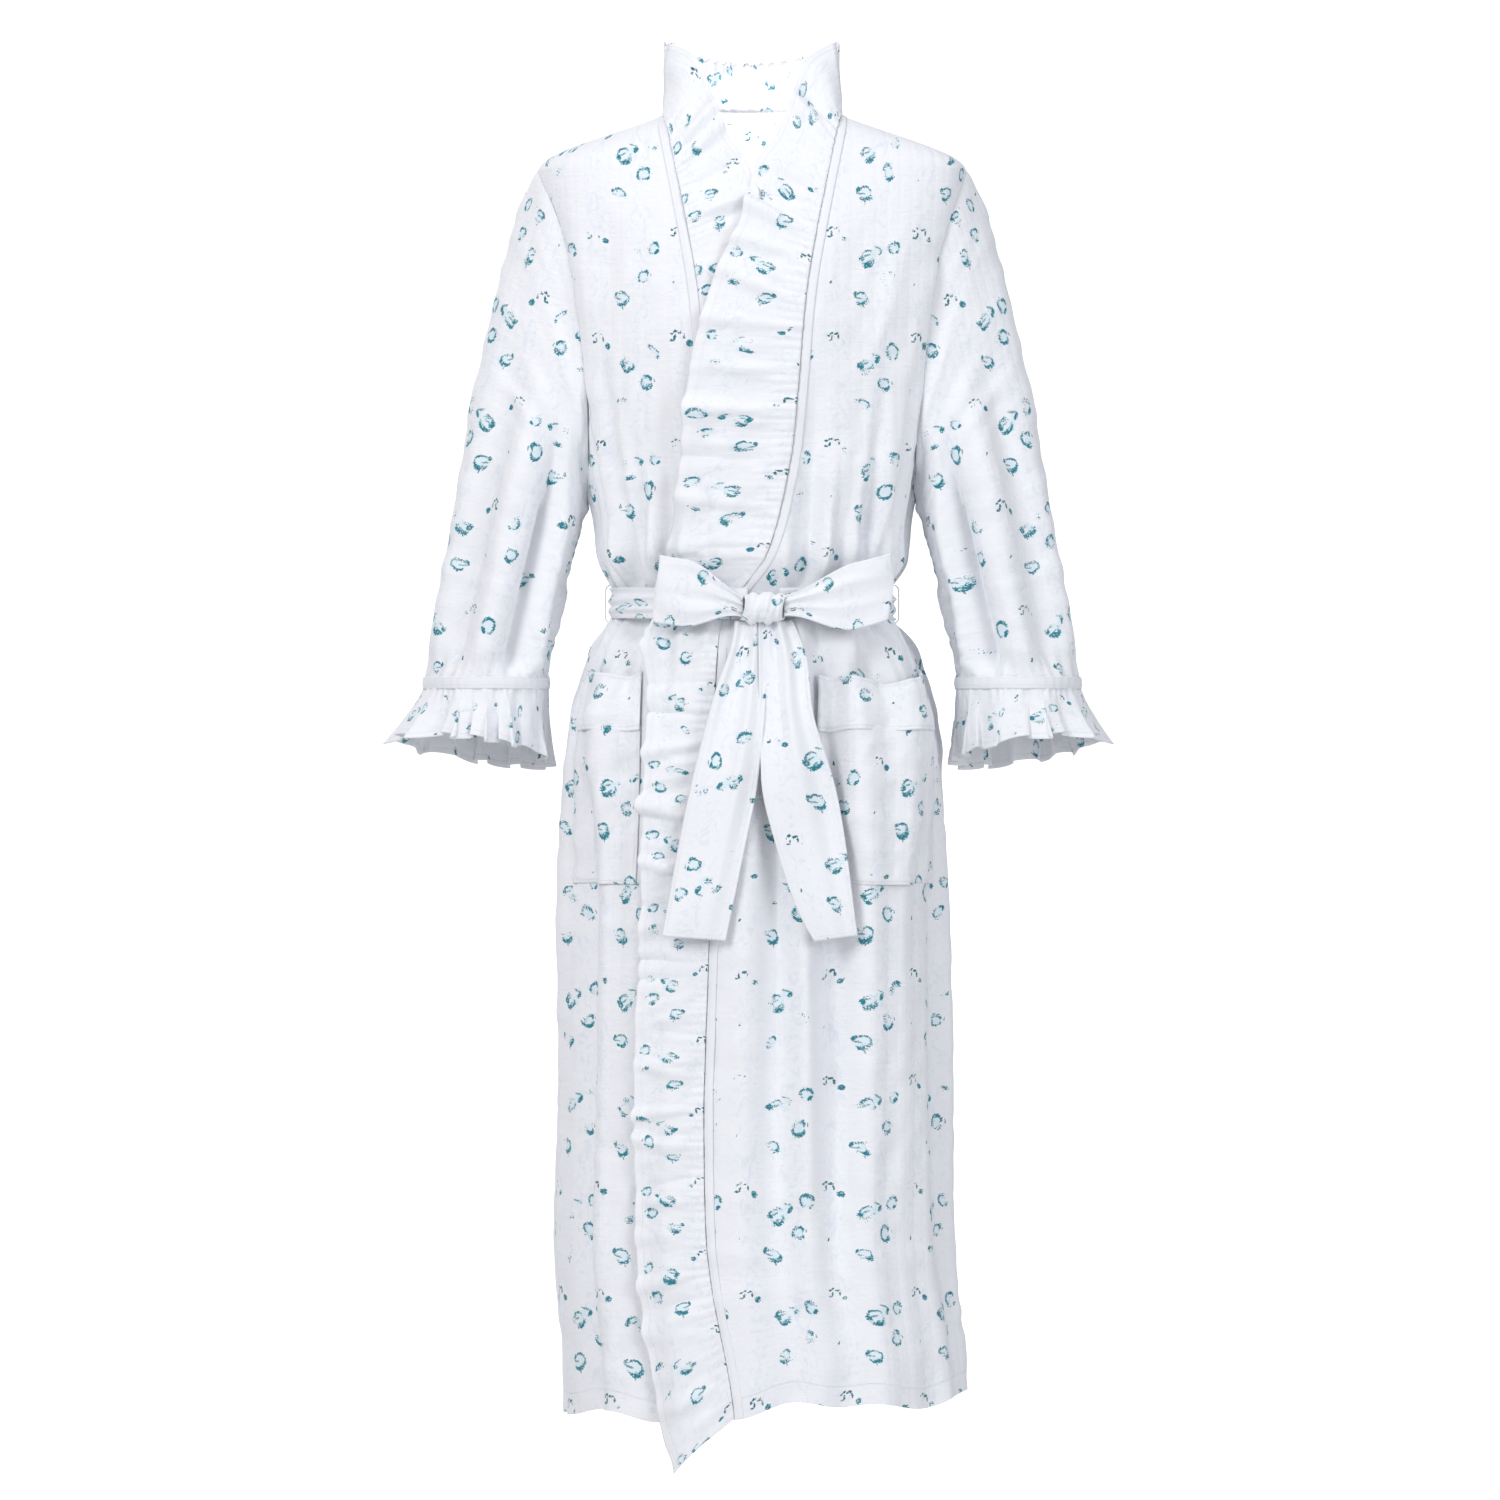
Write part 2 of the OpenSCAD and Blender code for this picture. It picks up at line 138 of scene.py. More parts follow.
def angle_of_x(x, d, off):
    """The angle at which the body's surface at drop d has this x."""
    part = np.clip(np.abs(x) / (body_w(d) + off), 0, 1) ** (SQUARE / 2)
    return np.sign(x) * np.degrees(np.arcsin(part))


def side_angle(d):
    """Where a front or back panel ends at the side: the side seam, or the armhole's edge."""
    inside = np.clip(1 - ((d - ARM_MID) / ARM_HALF) ** 2, 0, 1)
    y = ARM_DEEP * np.sqrt(inside)
    return np.degrees(np.arccos(np.clip(y / body_y(d), 0, 1) ** (SQUARE / 2)))


# --- folds
def waves(a, d, *terms):
    """A sum of sine waves. Each term is (height mm, waves round the body, phase, lean)."""
    total = 0
    for height, count, phase, lean in terms:
        total = total + height * np.sin(np.radians(a) * count + phase + lean * d / 1000)
    return total


def crease(x, at, width):
    """A soft furrow, 1 deep at its line."""
    return np.exp(-((x - at) / width) ** 2)


def crumple(u, v, size, seed, count=9):
    """Irregular soft creases from -1 to 1: sharp-topped waves in many directions, bent by longer ones."""
    rng = np.random.default_rng(seed)
    x, y = u / size, v / size
    bend_x = (0.9 * np.sin(0.31 * y + 1.3 * rng.random())
              + 0.6 * np.sin(0.53 * x + 0.23 * y + 5 * rng.random()))
    bend_y = (0.9 * np.sin(0.37 * x + 2.1 * rng.random())
              + 0.6 * np.sin(0.21 * x - 0.47 * y + 5 * rng.random()))
    total = 0
    draws = zip(rng.uniform(0, math.pi, count), rng.uniform(0, TAU, count), rng.uniform(0.6, 1.6, count))
    for turn, phase, pitch in draws:
        wave = np.sin(pitch * ((x + bend_x) * math.cos(turn) + (y + bend_y) * math.sin(turn)) + phase)
        patch = np.sin(0.4 * pitch * (x * math.sin(turn) - y) + 3 * phase)
        total = total + (1 - 2 * np.abs(wave)) * (0.5 + 0.5 * patch)
    return total / count**0.5


# Pleats that run into the belt: x at the belt, x at the far end, drop of the far end, height, width
ABOVE_BELT = ((-112, -124, 300, 5, 5), (-100, -104, 260, -8, 5), (-88, -90, 320, 7, 5),
              (-74, -84, 300, -6, 5),
              (26, 30, 330, 5, 5), (40, 62, 300, -8, 6), (52, 78, 280, 7, 5), (66, 92, 330, -7, 5),
              (82, 104, 260, 7, 6), (96, 112, 300, -9, 6), (110, 128, 250, 6, 5), (-54, -70, 340, 5, 4))
BELOW_BELT = ((-112, -150, 640, 6, 7), (-98, -130, 760, -9, 8), (-82, -116, 600, 6, 6),
              (-66, -92, 620, -6, 6),
              (-10, 6, 700, 5, 8), (22, 26, 1300, -19, 11), (40, 50, 1300, 9, 11), (60, 80, 1200, -13, 10),
              (78, 106, 900, 7, 10), (94, 126, 700, -8, 9), (112, 150, 620, 6, 7))


def fold(angle, d):
    """How far the cloth of the body stands out from its plain form, in mm."""
    a = (angle + 180) % 360 - 180
    x = body_w(d) * np.sign(np.sin(np.radians(a))) * np.abs(np.sin(np.radians(a))) ** 0.8
    front = smooth((92 - np.abs(a)) / 8)
    total = 0
    for belt_x, far_x, far_d, height, width in ABOVE_BELT:
        t = np.clip((d - far_d) / (WAIST_DROP - far_d), 0, 1) * (d <= WAIST_DROP)
        line = crease(x, mix(far_x, belt_x, t), width * (2.3 - 1.3 * t))
        total = total + height * smooth(t * 1.5) * line
    for belt_x, far_x, far_d, height, width in BELOW_BELT:
        t = np.clip((far_d - d) / (far_d - WAIST_DROP), 0, 1) * (d > WAIST_DROP)
        grow = 1 + 1.1 * (1 - t) * (far_d > 1000)
        line = crease(x, mix(far_x, belt_x, t), width * (2.4 - 1.4 * t))
        total = total + height * grow * smooth(t * 1.7) * line
    low = smooth((d - 480) / 260)
    skirt = low * waves(a, d, (4.0, 9, 0.6, 1.2), (3.2, 14, 2.1, -1.7), (1.8, 23, 0.4, 2.2))
    left_edge = -8 * low * crease(x, -150, 12)
    near = np.exp(-((d - WAIST_DROP) / 60) ** 2)
    gathers = near * waves(a, d, (2.4, 31, 0.3, 3.0), (1.8, 47, 1.9, -4.0), (1.0, 71, 0.8, 6.0))
    high = smooth((d - 190) / 170) * (1 - smooth((d - 405) / 25))
    bodice = high * waves(a, d, (2.6, 17, 1.1, -3.0), (2.0, 27, 2.6, 4.0), (1.0, 44, 0.2, -5.0))
    back = (1 - front) * (1 - np.exp(-((d - WAIST_DROP) / 20) ** 2)) * (
        smooth((d - 260) / 150) * waves(a, d, (4.5, 21, 0.9, 2.0), (3.0, 33, 2.2, -2.0)) * (1 + 0.5 * low))
    blouse = 9 * np.exp(-((d - 400) / 24) ** 2) + 5 * np.exp(-((d - 486) / 24) ** 2)
    belt = 1 - np.exp(-((d - WAIST_DROP) / 16) ** 2)
    calm = smooth((d - 60) / 80)
    drape = waves(a, d, (1.4, 6, 0.9, 5.0), (1.1, 10, 0.2, -8.0), (0.8, 15, 2.2, 11.0))
    rumple = 1.5 * crumple(a * 2.8, d, 15, 3) + 0.5 * crumple(a * 2.8, d, 6.5, 8)
    return (((total + left_edge) * front + skirt + bodice + back + blouse) * belt
            + gathers * (0.3 + 0.7 * belt) + calm * belt * (drape + rumple))


# --- sheets
def normals(p, wrap=False):
    """Unit normals of a grid of points. With wrap, the last column joins the first."""
    di = np.gradient(p, axis=0)
    if wrap:
        dj = (np.roll(p, -1, 1) - np.roll(p, 1, 1)) / 2
    else:
        dj = np.gradient(p, axis=1)
    n = np.cross(di, dj)
    return n / np.maximum(np.linalg.norm(n, axis=-1, keepdims=True), 1e-9)


def lengths(p, axis):
    """Distance along the grid lines of an axis, in mm, from the first line."""
    step = np.linalg.norm(np.diff(p, axis=axis), axis=-1)
    total = np.cumsum(step, axis=axis)
    pad = [(0, 0), (0, 0)]
    pad[axis] = (1, 0)
    return np.pad(total, pad)


def even_rows(dense, n):
    """Resamples each row of dense points to n + 1 points at equal distances."""
    rows = []
    for row in dense:
        s = np.concatenate([[0], np.cumsum(np.linalg.norm(np.diff(row[:, :3], axis=0), axis=1))])
        at = np.linspace(0, s[-1], n + 1)
        rows.append(np.stack([np.interp(at, s, row[:, k]) for k in range(row.shape[1])], -1))
    return np.array(rows)


def panel(drops, start, end, n, off):
    """A grid on the body between two angles that depend on the drop. off(angle, d) is in mm."""
    dense = []
    for d in drops:
        a = np.linspace(start(d), end(d), 160)
        base = body_point(a, d, off(a, d))
        dense.append(np.concatenate([base, a[:, None]], 1))
    grid = even_rows(dense, n)
    p, a = grid[..., :3], grid[..., 3]
    flat = p.copy()
    d = -p[..., 2]
    p = p + normals(p) * fold(a, d)[..., None]
    return p, flat, np.stack([grain(a, d), -d], -1)


def sheet_mesh(name, p, uv, material, edge, thick=0.9, wrap=False):
    """Makes one sheet of cloth from a grid of points in mm.

    uv are its cloth coordinates in mm. edge is (distance along, distance in from) the nearest stitched
    edge. wrap is the cloth's length round a closed ring.
    """
    nr, nc = p.shape[:2]
    columns = nc if wrap else nc - 1
    faces = [(i * nc + j, (i + 1) * nc + j, (i + 1) * nc + (j + 1) % nc, i * nc + (j + 1) % nc)
             for i in range(nr - 1) for j in range(columns)]
    mesh = bpy.data.meshes.new(name)
    mesh.from_pydata([tuple(v) for v in (p.reshape(-1, 3) * MM)], [], faces)
    mesh.polygons.foreach_set("use_smooth", [True] * len(faces))
    add_uv(mesh, "cloth", nr, nc, columns, uv, wrap)
    add_uv(mesh, "edge", nr, nc, columns, edge, wrap)
    mesh.update()
    obj = bpy.data.objects.new(name, mesh)
    bpy.context.scene.collection.objects.link(obj)
    obj.data.materials.append(material)
    sub = obj.modifiers.new("smooth", "SUBSURF")
    sub.levels = 1
    sub.render_levels = 1
    sub.boundary_smooth = "PRESERVE_CORNERS"
    solid = obj.modifiers.new("cloth", "SOLIDIFY")
    solid.thickness = thick * MM
    solid.offset = -1
    return obj


def add_uv(mesh, name, nr, nc, columns, uv, wrap):
    layer = mesh.uv_layers.new(name=name)
    data = np.zeros(((nr - 1) * columns, 4, 2))
    grid = np.concatenate([uv, uv[:, :1] + [[[wrap, 0]]]], 1) if wrap else uv
    corners = [grid[:-1, :-1], grid[1:, :-1], grid[1:, 1:], grid[:-1, 1:]]
    for k, c in enumerate(corners):
        data[:, k] = c[:, :columns].reshape(-1, 2)
    layer.data.foreach_set("uv", (data * MM).ravel())


def cloth_uv(flat, sideways):
    """Cloth coordinates of a grid: distance across from its middle column, and drop."""
    u = lengths(flat, 1)
    u = u - u[:, -1:] / 2 + sideways
    return np.stack([u, flat[..., 2]], -1)


def grain(angle, d):
    """Cloth coordinates on the body: the print squeezes together where the waist is gathered."""
    a = (angle + 180) % 360 - 180
    back = np.abs(a) > 90
    dense = np.linspace(0, 180, 361)
    u = np.empty_like(a)
    for i in range(len(a)):
        drop = d[i].mean()
        cut = drop if drop < UNDERARM else UNDERARM if drop < WAIST_DROP else max(drop, 700)
        step = np.linalg.norm(np.diff(body_point(dense, cut, 0), axis=0), axis=1)
        s = np.concatenate([[0], np.cumsum(step)])
        row = np.interp(np.abs(a[i]), dense, s)
        u[i] = np.sign(a[i]) * np.where(back[i], s[-1] - row, row)
    return u


# --- materials
class Nodes:
    """Short calls for building a node tree."""

    def __init__(self, tree):
        self.tree = tree

    def add(self, kind, **inputs):
        node = self.tree.nodes.new(kind)
        for key, value in inputs.items():
            self.set(node.inputs[key], value)
        return node

    def set(self, socket, value):
        if isinstance(value, bpy.types.NodeSocket):
            self.tree.links.new(value, socket)
        else:
            socket.default_value = value

    def math(self, operation, a, b=0.0, c=0.0, clamp=False):
        node = self.tree.nodes.new("ShaderNodeMath")
        node.operation = operation
        node.use_clamp = clamp
        for socket, value in zip(node.inputs, (a, b, c)):
            self.set(socket, value)
        return node.outputs[0]

    def vector(self, operation, a, b=None):
        node = self.tree.nodes.new("ShaderNodeVectorMath")
        node.operation = operation
        self.set(node.inputs[0], a)
        if b is not None:
            self.set(node.inputs[1], b)
        return node.outputs["Value"] if operation == "LENGTH" else node.outputs["Vector"]

    def mix(self, factor, a, b):
        node = self.tree.nodes.new("ShaderNodeMix")
        node.data_type = "RGBA"
        self.set(node.inputs["Factor"], factor)
        self.set(node.inputs[6], a)
        self.set(node.inputs[7], b)
        return node.outputs[2]

    def ellipse(self, point, x, y, rx, ry, turn=0.0, edge=9.0):
        """1 inside an ellipse and 0 outside it, with a soft edge."""
        place = self.tree.nodes.new("ShaderNodeMapping")
        place.vector_type = "TEXTURE"
        self.set(place.inputs["Vector"], point)
        place.inputs["Location"].default_value = (x, y, 0)
        place.inputs["Rotation"].default_value = (0, 0, math.radians(turn))
        place.inputs["Scale"].default_value = (rx, ry, 1)
        inside = self.math("SUBTRACT", 1.0, self.vector("LENGTH", place.outputs[0]))
        return self.math("MULTIPLY_ADD", inside, edge, 0.5, clamp=True)

    def petal(self, point, turn, out, rx, ry, thin):
        """A crescent that bulges away from the flower's middle in the direction turn."""
        a = math.radians(turn)
        thin = BOLDNESS * thin
        x, y = out * math.cos(a), out * math.sin(a)
        whole = self.ellipse(point, x, y, rx, ry, turn + 90)
        inner = self.ellipse(point, x - thin * math.cos(a), y - thin * math.sin(a),
                             rx * 0.93, ry * 0.93, turn + 90)
        return self.math("SUBTRACT", whole, inner, clamp=True)

    def most(self, masks):
        total = masks[0]
        for mask in masks[1:]:
            total = self.math("MAXIMUM", total, mask)
        return total


STITCH_INSET = 5.0  # mm from a sheet's edge to its stitch line
BOLDNESS = 1.3  # how much thicker the printed strokes are than drawn
WHITE = (0.900, 0.905, 0.930, 1)
SHADOW_VINE = (0.79, 0.825, 0.895, 1)
PETAL_FILL = (0.44, 0.79, 0.90, 1)
TEAL = (0.0, 0.205, 0.255, 1)
BLUE = (0.0, 0.125, 0.360, 1)
GREY_TEAL = (0.010, 0.150, 0.185, 1)
REPEAT_X, REPEAT_Y = 80.0, 95.0


def sprig_group():
    """Rose sprigs in a straight repeat on white, over faint leafy stripes. The input is cloth mm."""
    group = bpy.data.node_groups.new("rose_sprigs", "ShaderNodeTree")
    group.interface.new_socket("Cloth", in_out="INPUT", socket_type="NodeSocketVector")
    group.interface.new_socket("Color", in_out="OUTPUT", socket_type="NodeSocketColor")
    n = Nodes(group)
    cloth = n.add("NodeGroupInput").outputs[0]
    split = n.add("ShaderNodeSeparateXYZ", Vector=cloth)
    place = []
    for value, repeat in ((split.outputs[0], REPEAT_X), (split.outputs[1], REPEAT_Y)):
        share = n.math("FRACT", n.math("DIVIDE", value, repeat))
        place.append(n.math("MULTIPLY", n.math("SUBTRACT", share, 0.5), repeat))
    point = n.add("ShaderNodeCombineXYZ", X=place[0], Y=place[1]).outputs[0]
    for scale, reach in ((0.035, 9.0), (0.75, 2.3)):
        wobble = n.add("ShaderNodeTexNoise", Vector=cloth, Scale=scale, Detail=1.0)
        push = n.vector("SCALE", n.vector("SUBTRACT", wobble.outputs["Color"], (0.5, 0.5, 0.5)))
        push.node.inputs["Scale"].default_value = reach
        point = n.vector("ADD", point, push)

    def at(x, y):
        return n.vector("SUBTRACT", point, (x, y, 0.0))

    rose = at(4, 8)
    bold = [n.ellipse(rose, -5.6, -0.6, 3.8, 2.7, -40, 5), n.ellipse(rose, 0.2, -6.4, 4.6, 2.4, 8, 5),
            n.ellipse(rose, 11.6, 5.4, 3.7, 2.1, 62, 5), n.petal(rose, 295, 2.4, 7.0, 6.2, 2.2),
            n.petal(rose, 130, 1.6, 7.2, 6.4, 1.3)]
    thin = [n.ellipse(rose, -1.0, 1.8, 3.6, 0.9, 18, 5), n.ellipse(rose, 8.8, 9.6, 4.8, 1.0, -14, 5),
            n.ellipse(rose, 1.6, -3.0, 2.6, 0.8, 30, 5)]
    wash = [n.ellipse(rose, 2.0, -0.6, 9.5, 8.0, 10, 2.2), n.ellipse(rose, 9.5, 6.5, 6.0, 4.6, 50, 2.2)]

    high_bud = at(29, 19)
    bold += [n.ellipse(high_bud, 3.6, -4.2, 3.2, 1.7, 50, 5), n.petal(high_bud, 80, 1.8, 6.0, 5.6, 2.2),
             n.petal(high_bud, 185, 1.2, 6.6, 4.8, 1.2)]
    thin += [n.ellipse(high_bud, 5.2, 1.2, 1.9, 0.9, -35, 5)]
    wash += [n.ellipse(high_bud, 0.8, -0.2, 6.5, 7.5, 0, 2.2)]

    low_bud = at(22, -9)
    bold += [n.petal(low_bud, 285, 3.8, 5.0, 5.0, 2.7), n.petal(low_bud, 58, 3.6, 3.8, 4.2, 2.2),
             n.petal(low_bud, 178, 1.2, 7.0, 4.8, 1.3)]
    thin += [n.ellipse(low_bud, 7.6, 1.6, 0.7, 2.2, 10, 5)]
    wash += [n.ellipse(low_bud, 0.4, 0, 5.6, 8.0, 0, 2.2)]

    small = at(0, -28)
    bold += [n.ellipse(small, -6.6, 3.8, 2.9, 1.7, 65, 5), n.petal(small, 292, 2.8, 6.4, 5.8, 3.0),
             n.petal(small, 75, 1.6, 6.4, 5.4, 1.3)]
    thin += [n.ellipse(small, -4.2, 0.2, 4.0, 0.8, -12, 5), n.ellipse(small, 1.2, -8.8, 0.7, 2.1, 12, 5)]
    wash += [n.ellipse(small, 1.4, -1.5, 8.0, 6.4, -10, 2.2)]

    twig = at(-27, 32)
    marks = [n.ellipse(twig, -4.8, 2.0, 1.5, 1.2, 0, 5), n.ellipse(twig, -1.8, 4.0, 2.2, 1.1, 20, 5),
             n.ellipse(twig, -2.0, -1.0, 1.0, 2.9, -10, 5), n.ellipse(twig, -4.4, -3.4, 1.9, 1.0, 0, 5),
             n.ellipse(twig, 3.0, 3.0, 3.0, 1.2, 12, 5), n.ellipse(twig, 5.4, -0.2, 1.1, 2.6, 0, 5),
             n.ellipse(point, -30, -14, 0.9, 2.0, -25, 5)]
    bold += [n.ellipse(twig, 10.4, -5.8, 3.2, 3.0, 0, 5)]

    leafy = n.vector("MULTIPLY", cloth, (0.085, 0.050, 1.0))
    turned = n.add("ShaderNodeTexNoise", Vector=leafy, Scale=1.2, Detail=3.0, Distortion=2.2)
    strokes = n.math("MULTIPLY_ADD", turned.outputs["Fac"], 9.0, -4.7, clamp=True)
    lane = n.math("PINGPONG", n.math("ADD", split.outputs[0], 22.0), REPEAT_X / 4)
    lane = n.math("MULTIPLY_ADD", lane, -0.08, 1.35, clamp=True)
    vine = n.math("MULTIPLY", n.math("MULTIPLY", strokes, lane), 0.75)

    colour = n.mix(vine, WHITE, SHADOW_VINE)
    colour = n.mix(n.math("MULTIPLY", n.most(wash), 0.30), colour, PETAL_FILL)
    fade = n.add("ShaderNodeTexNoise", Vector=cloth, Scale=0.45, Detail=2.0)
    ink = n.math("MULTIPLY_ADD", fade.outputs["Fac"], 5.0, -1.25, clamp=True)
    colour = n.mix(n.math("MULTIPLY", n.most(marks), ink), colour, GREY_TEAL)
    hue = n.mix(n.math("MULTIPLY_ADD", fade.outputs["Fac"], 6.0, -3.6, clamp=True), TEAL, BLUE)
    colour = n.mix(n.math("MULTIPLY", n.most(thin), n.math("MULTIPLY", ink, 0.75)), colour, GREY_TEAL)
    colour = n.mix(n.math("MULTIPLY", n.most(bold), ink), colour, hue)
    out = n.add("NodeGroupOutput")
    n.set(out.inputs[0], colour)
    return group


SPRIGS = sprig_group()


def cloth_material(name, with_print=True, pucker=1.0):
    """Seersucker: a crinkled plain weave, printed or plain, with stitch lines and painted shade along the
    edges.
    """
    material = bpy.data.materials.new(name)
    material.use_nodes = True
    tree = material.node_tree
    tree.nodes.clear()
    n = Nodes(tree)
    uv = n.add("ShaderNodeUVMap")
    uv.uv_map = "cloth"
    cloth = n.vector("MULTIPLY", uv.outputs[0], (1000.0, 1000.0, 1000.0))
    if with_print:
        print_node = tree.nodes.new("ShaderNodeGroup")
        print_node.node_tree = SPRIGS
        n.set(print_node.inputs[0], cloth)
        colour = print_node.outputs[0]
    else:
        cloud = n.add("ShaderNodeTexNoise", Vector=cloth, Scale=0.02, Detail=3.0)
        darker = tuple(0.93 * c for c in WHITE[:3]) + (1,)
        colour = n.mix(cloud.outputs["Fac"], WHITE, darker)

    crinkle = n.add("ShaderNodeTexNoise", Vector=n.vector("MULTIPLY", cloth, (0.07, 0.24, 1.0)),
                    Scale=1.0, Detail=3.0, Roughness=0.6, Distortion=0.5)
    stripe = n.math("PINGPONG", n.add("ShaderNodeSeparateXYZ", Vector=cloth).outputs[0], 5.5)
    stripe = n.math("MULTIPLY_ADD", stripe, 0.14, 0.55, clamp=True)
    height = n.math("MULTIPLY", crinkle.outputs["Fac"], stripe)
    threads = n.add("ShaderNodeTexWave", Vector=cloth, Scale=0.62, Distortion=1.5, Detail=1.0)
    cross = n.add("ShaderNodeTexWave", Vector=cloth, Scale=0.62, Distortion=1.5, Detail=1.0)
    threads.bands_direction = "X"
    cross.bands_direction = "Y"
    weave = n.math("MAXIMUM", threads.outputs["Fac"], cross.outputs["Fac"])
    total = n.math("MULTIPLY_ADD", weave, 0.05, height)
    soil = n.add("ShaderNodeTexNoise", Vector=cloth, Scale=0.012, Detail=4.0)
    tone = n.math("MULTIPLY", soil.outputs["Fac"], 0.10)
    shade = n.mix(tone, colour, (0.55, 0.60, 0.68, 1))

    edge = n.add("ShaderNodeUVMap")
    edge.uv_map = "edge"
    place = n.add("ShaderNodeSeparateXYZ", Vector=n.vector("MULTIPLY", edge.outputs[0],
                                                           (1000.0, 1000.0, 1000.0)))
    along, inset = place.outputs[0], place.outputs[1]
    from_line = n.math("ABSOLUTE", n.math("SUBTRACT", inset, STITCH_INSET))
    line = n.math("LESS_THAN", from_line, 0.32)
    dash = n.math("LESS_THAN", n.math("FRACT", n.math("DIVIDE", along, 2.8)), 0.72)
    thread = n.math("MULTIPLY", line, dash)
    ditch_dip_and_shade = n.math("MULTIPLY_ADD", from_line, -0.8, 1.0, clamp=True)
    # painted shade: the colour is darkened towards lavender grey in the stitch ditch, where the bump also
    # dips
    shade = n.mix(n.math("MULTIPLY", ditch_dip_and_shade, 0.16), shade, (0.62, 0.66, 0.74, 1))
    shade = n.mix(n.math("MULTIPLY", thread, 0.8), shade, (0.93, 0.93, 0.95, 1))
    total = n.math("SUBTRACT", total, n.math("MULTIPLY", ditch_dip_and_shade, 0.5))
    total = n.math("ADD", total, n.math("MULTIPLY", thread, 0.6))

    bump = n.add("ShaderNodeBump", Height=total)
    bump.inputs["Strength"].default_value = 0.44 * pucker
    bump.inputs["Distance"].default_value = 2.2 * MM
    rough = n.math("MULTIPLY_ADD", crinkle.outputs["Fac"], 0.15, 0.74)
    shader = n.add("ShaderNodeBsdfPrincipled")
    n.set(shader.inputs["Base Color"], shade)
    n.set(shader.inputs["Roughness"], rough)
    n.set(shader.inputs["Normal"], bump.outputs[0])
    shader.inputs["Sheen Weight"].default_value = 0.12
    shader.inputs["Sheen Roughness"].default_value = 0.5
    shader.inputs["Specular IOR Level"].default_value = 0.25
    out = n.add("ShaderNodeOutputMaterial")
    n.set(out.inputs["Surface"], shader.outputs[0])
    return material


printed = cloth_material("printed_seersucker")
ruffle_cloth = cloth_material("printed_ruffle", pucker=0.8)
sash_cloth = cloth_material("printed_sash", pucker=0.7)
binding_cloth = cloth_material("white_binding", with_print=False, pucker=0.5)

# --- helpers for finished pieces
def measure(p, wrap=False):
    """The size a grid of cloth was cut to: its widest row, its longest column and its area, in metres."""
    ring = np.concatenate([p, p[:, :1]], 1) if wrap else p
    width = float(lengths(ring, 1)[:, -1].max()) * MM
    length = float(lengths(ring, 0)[-1].max()) * MM
    a, b, c, d = ring[:-1, :-1], ring[1:, :-1], ring[1:, 1:], ring[:-1, 1:]
    area = np.linalg.norm(np.cross(b - a, c - a), axis=-1) + np.linalg.norm(np.cross(c - a, d - a), axis=-1)
    return width, length, float(area.sum()) / 2 * MM * MM


NARROWEST = 0.0105
UNSTITCHED = 10000  # mm: puts a sheet's stitch line far outside the sheet


def finish_sheet(obj, p, nodes, body="gown", across=None, wrap=False):
    """Measures a sheet's cut size, which nothing then uses, hides the CAD nodes it stands for, and fastens
    it to its body; a sheet given an across line has its transform baked instead.
    """
    width, length, area = measure(p, wrap)
    width, length = round(max(width, NARROWEST), 4), round(max(length, NARROWEST), 4)
    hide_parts(*nodes)
    if across:
        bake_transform(obj)
    else:
        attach(obj, body)


# The over front's corner folds back across this line, from the panel towards the corner
FOLD_AWAY = np.array([-0.8944, 0, -0.4472])
fold_at = np.array(next(j for j in frame["joints"] if j["child"] == "corner")["pos_m"])
CORNER = ("corner", tuple(fold_at - 0.030 * FOLD_AWAY), tuple(fold_at + 0.050 * FOLD_AWAY))


def panel_drops(first):
    """The rows of a panel: shoulder, armhole (closer at its ends), then every 7 mm to the hem."""
    shoulder = np.linspace(first, SHOULDER_DROP, 10)[:-1]
    arm = ARM_MID - ARM_HALF * np.cos(np.linspace(0, math.pi, 50))
    return np.concatenate([shoulder, arm, np.arange(UNDERARM + 7, HEM, 7), [HEM]])


def word_of(side):
    return "left" if side > 0 else "right"


def edge_from_hem(p):
    """Stitching coordinates for a hem along the last row."""
    down = lengths(p, 0)
    return np.stack([lengths(p, 1), down[-1:] - down - 13], -1)


# --- body panels
def over_off(a, d):
    """The over front's offset, which dies out towards the side seam."""
    return LAYER * (1 - smooth((np.abs(a) - 58) / 26)) + 0 * d


def hem_wave(p):
    """Lets the hem rise and fall a little."""
    x = p[..., 0]
    low = smooth((-p[..., 2] - 1000) / 165)
    p[..., 2] += low * (5 * np.sin(x / 31 + 0.4) + 3 * np.sin(x / 13) + 0.06 * x)
    p[..., 0] += 13 * low
    return p


def make_panel(name, nodes, start, end, n, off, first, shift, across=None):
    """Makes one body panel between two angles. first is its top drop, shift moves its print."""
    p, flat, uv = panel(panel_drops(first), start, end, n, off)
    p = hem_wave(p)
    obj = sheet_mesh(name, p, uv + np.array([shift, 0]), printed, edge=edge_from_hem(flat))
    finish_sheet(obj, p, nodes, across=across)
    return p


make_panel("back", ["back_panel"], lambda d: 180 - side_angle(d), lambda d: 180 + side_angle(d),
           120, lambda a, d: 0 * a, 0.5, 12)
right_grid = make_panel("front_right", ["right_front"], lambda d: -side_angle(d),
                        lambda d: angle_of_x(-seam_x(d), d, 0), 64, lambda a, d: 0 * a, 3, 0)
left_grid = make_panel("front_left", ["left_front", "corner_panel"],
                       lambda d: angle_of_x(seam_x(d), d, LAYER), side_angle, 64, over_off, 3, 22, CORNER)


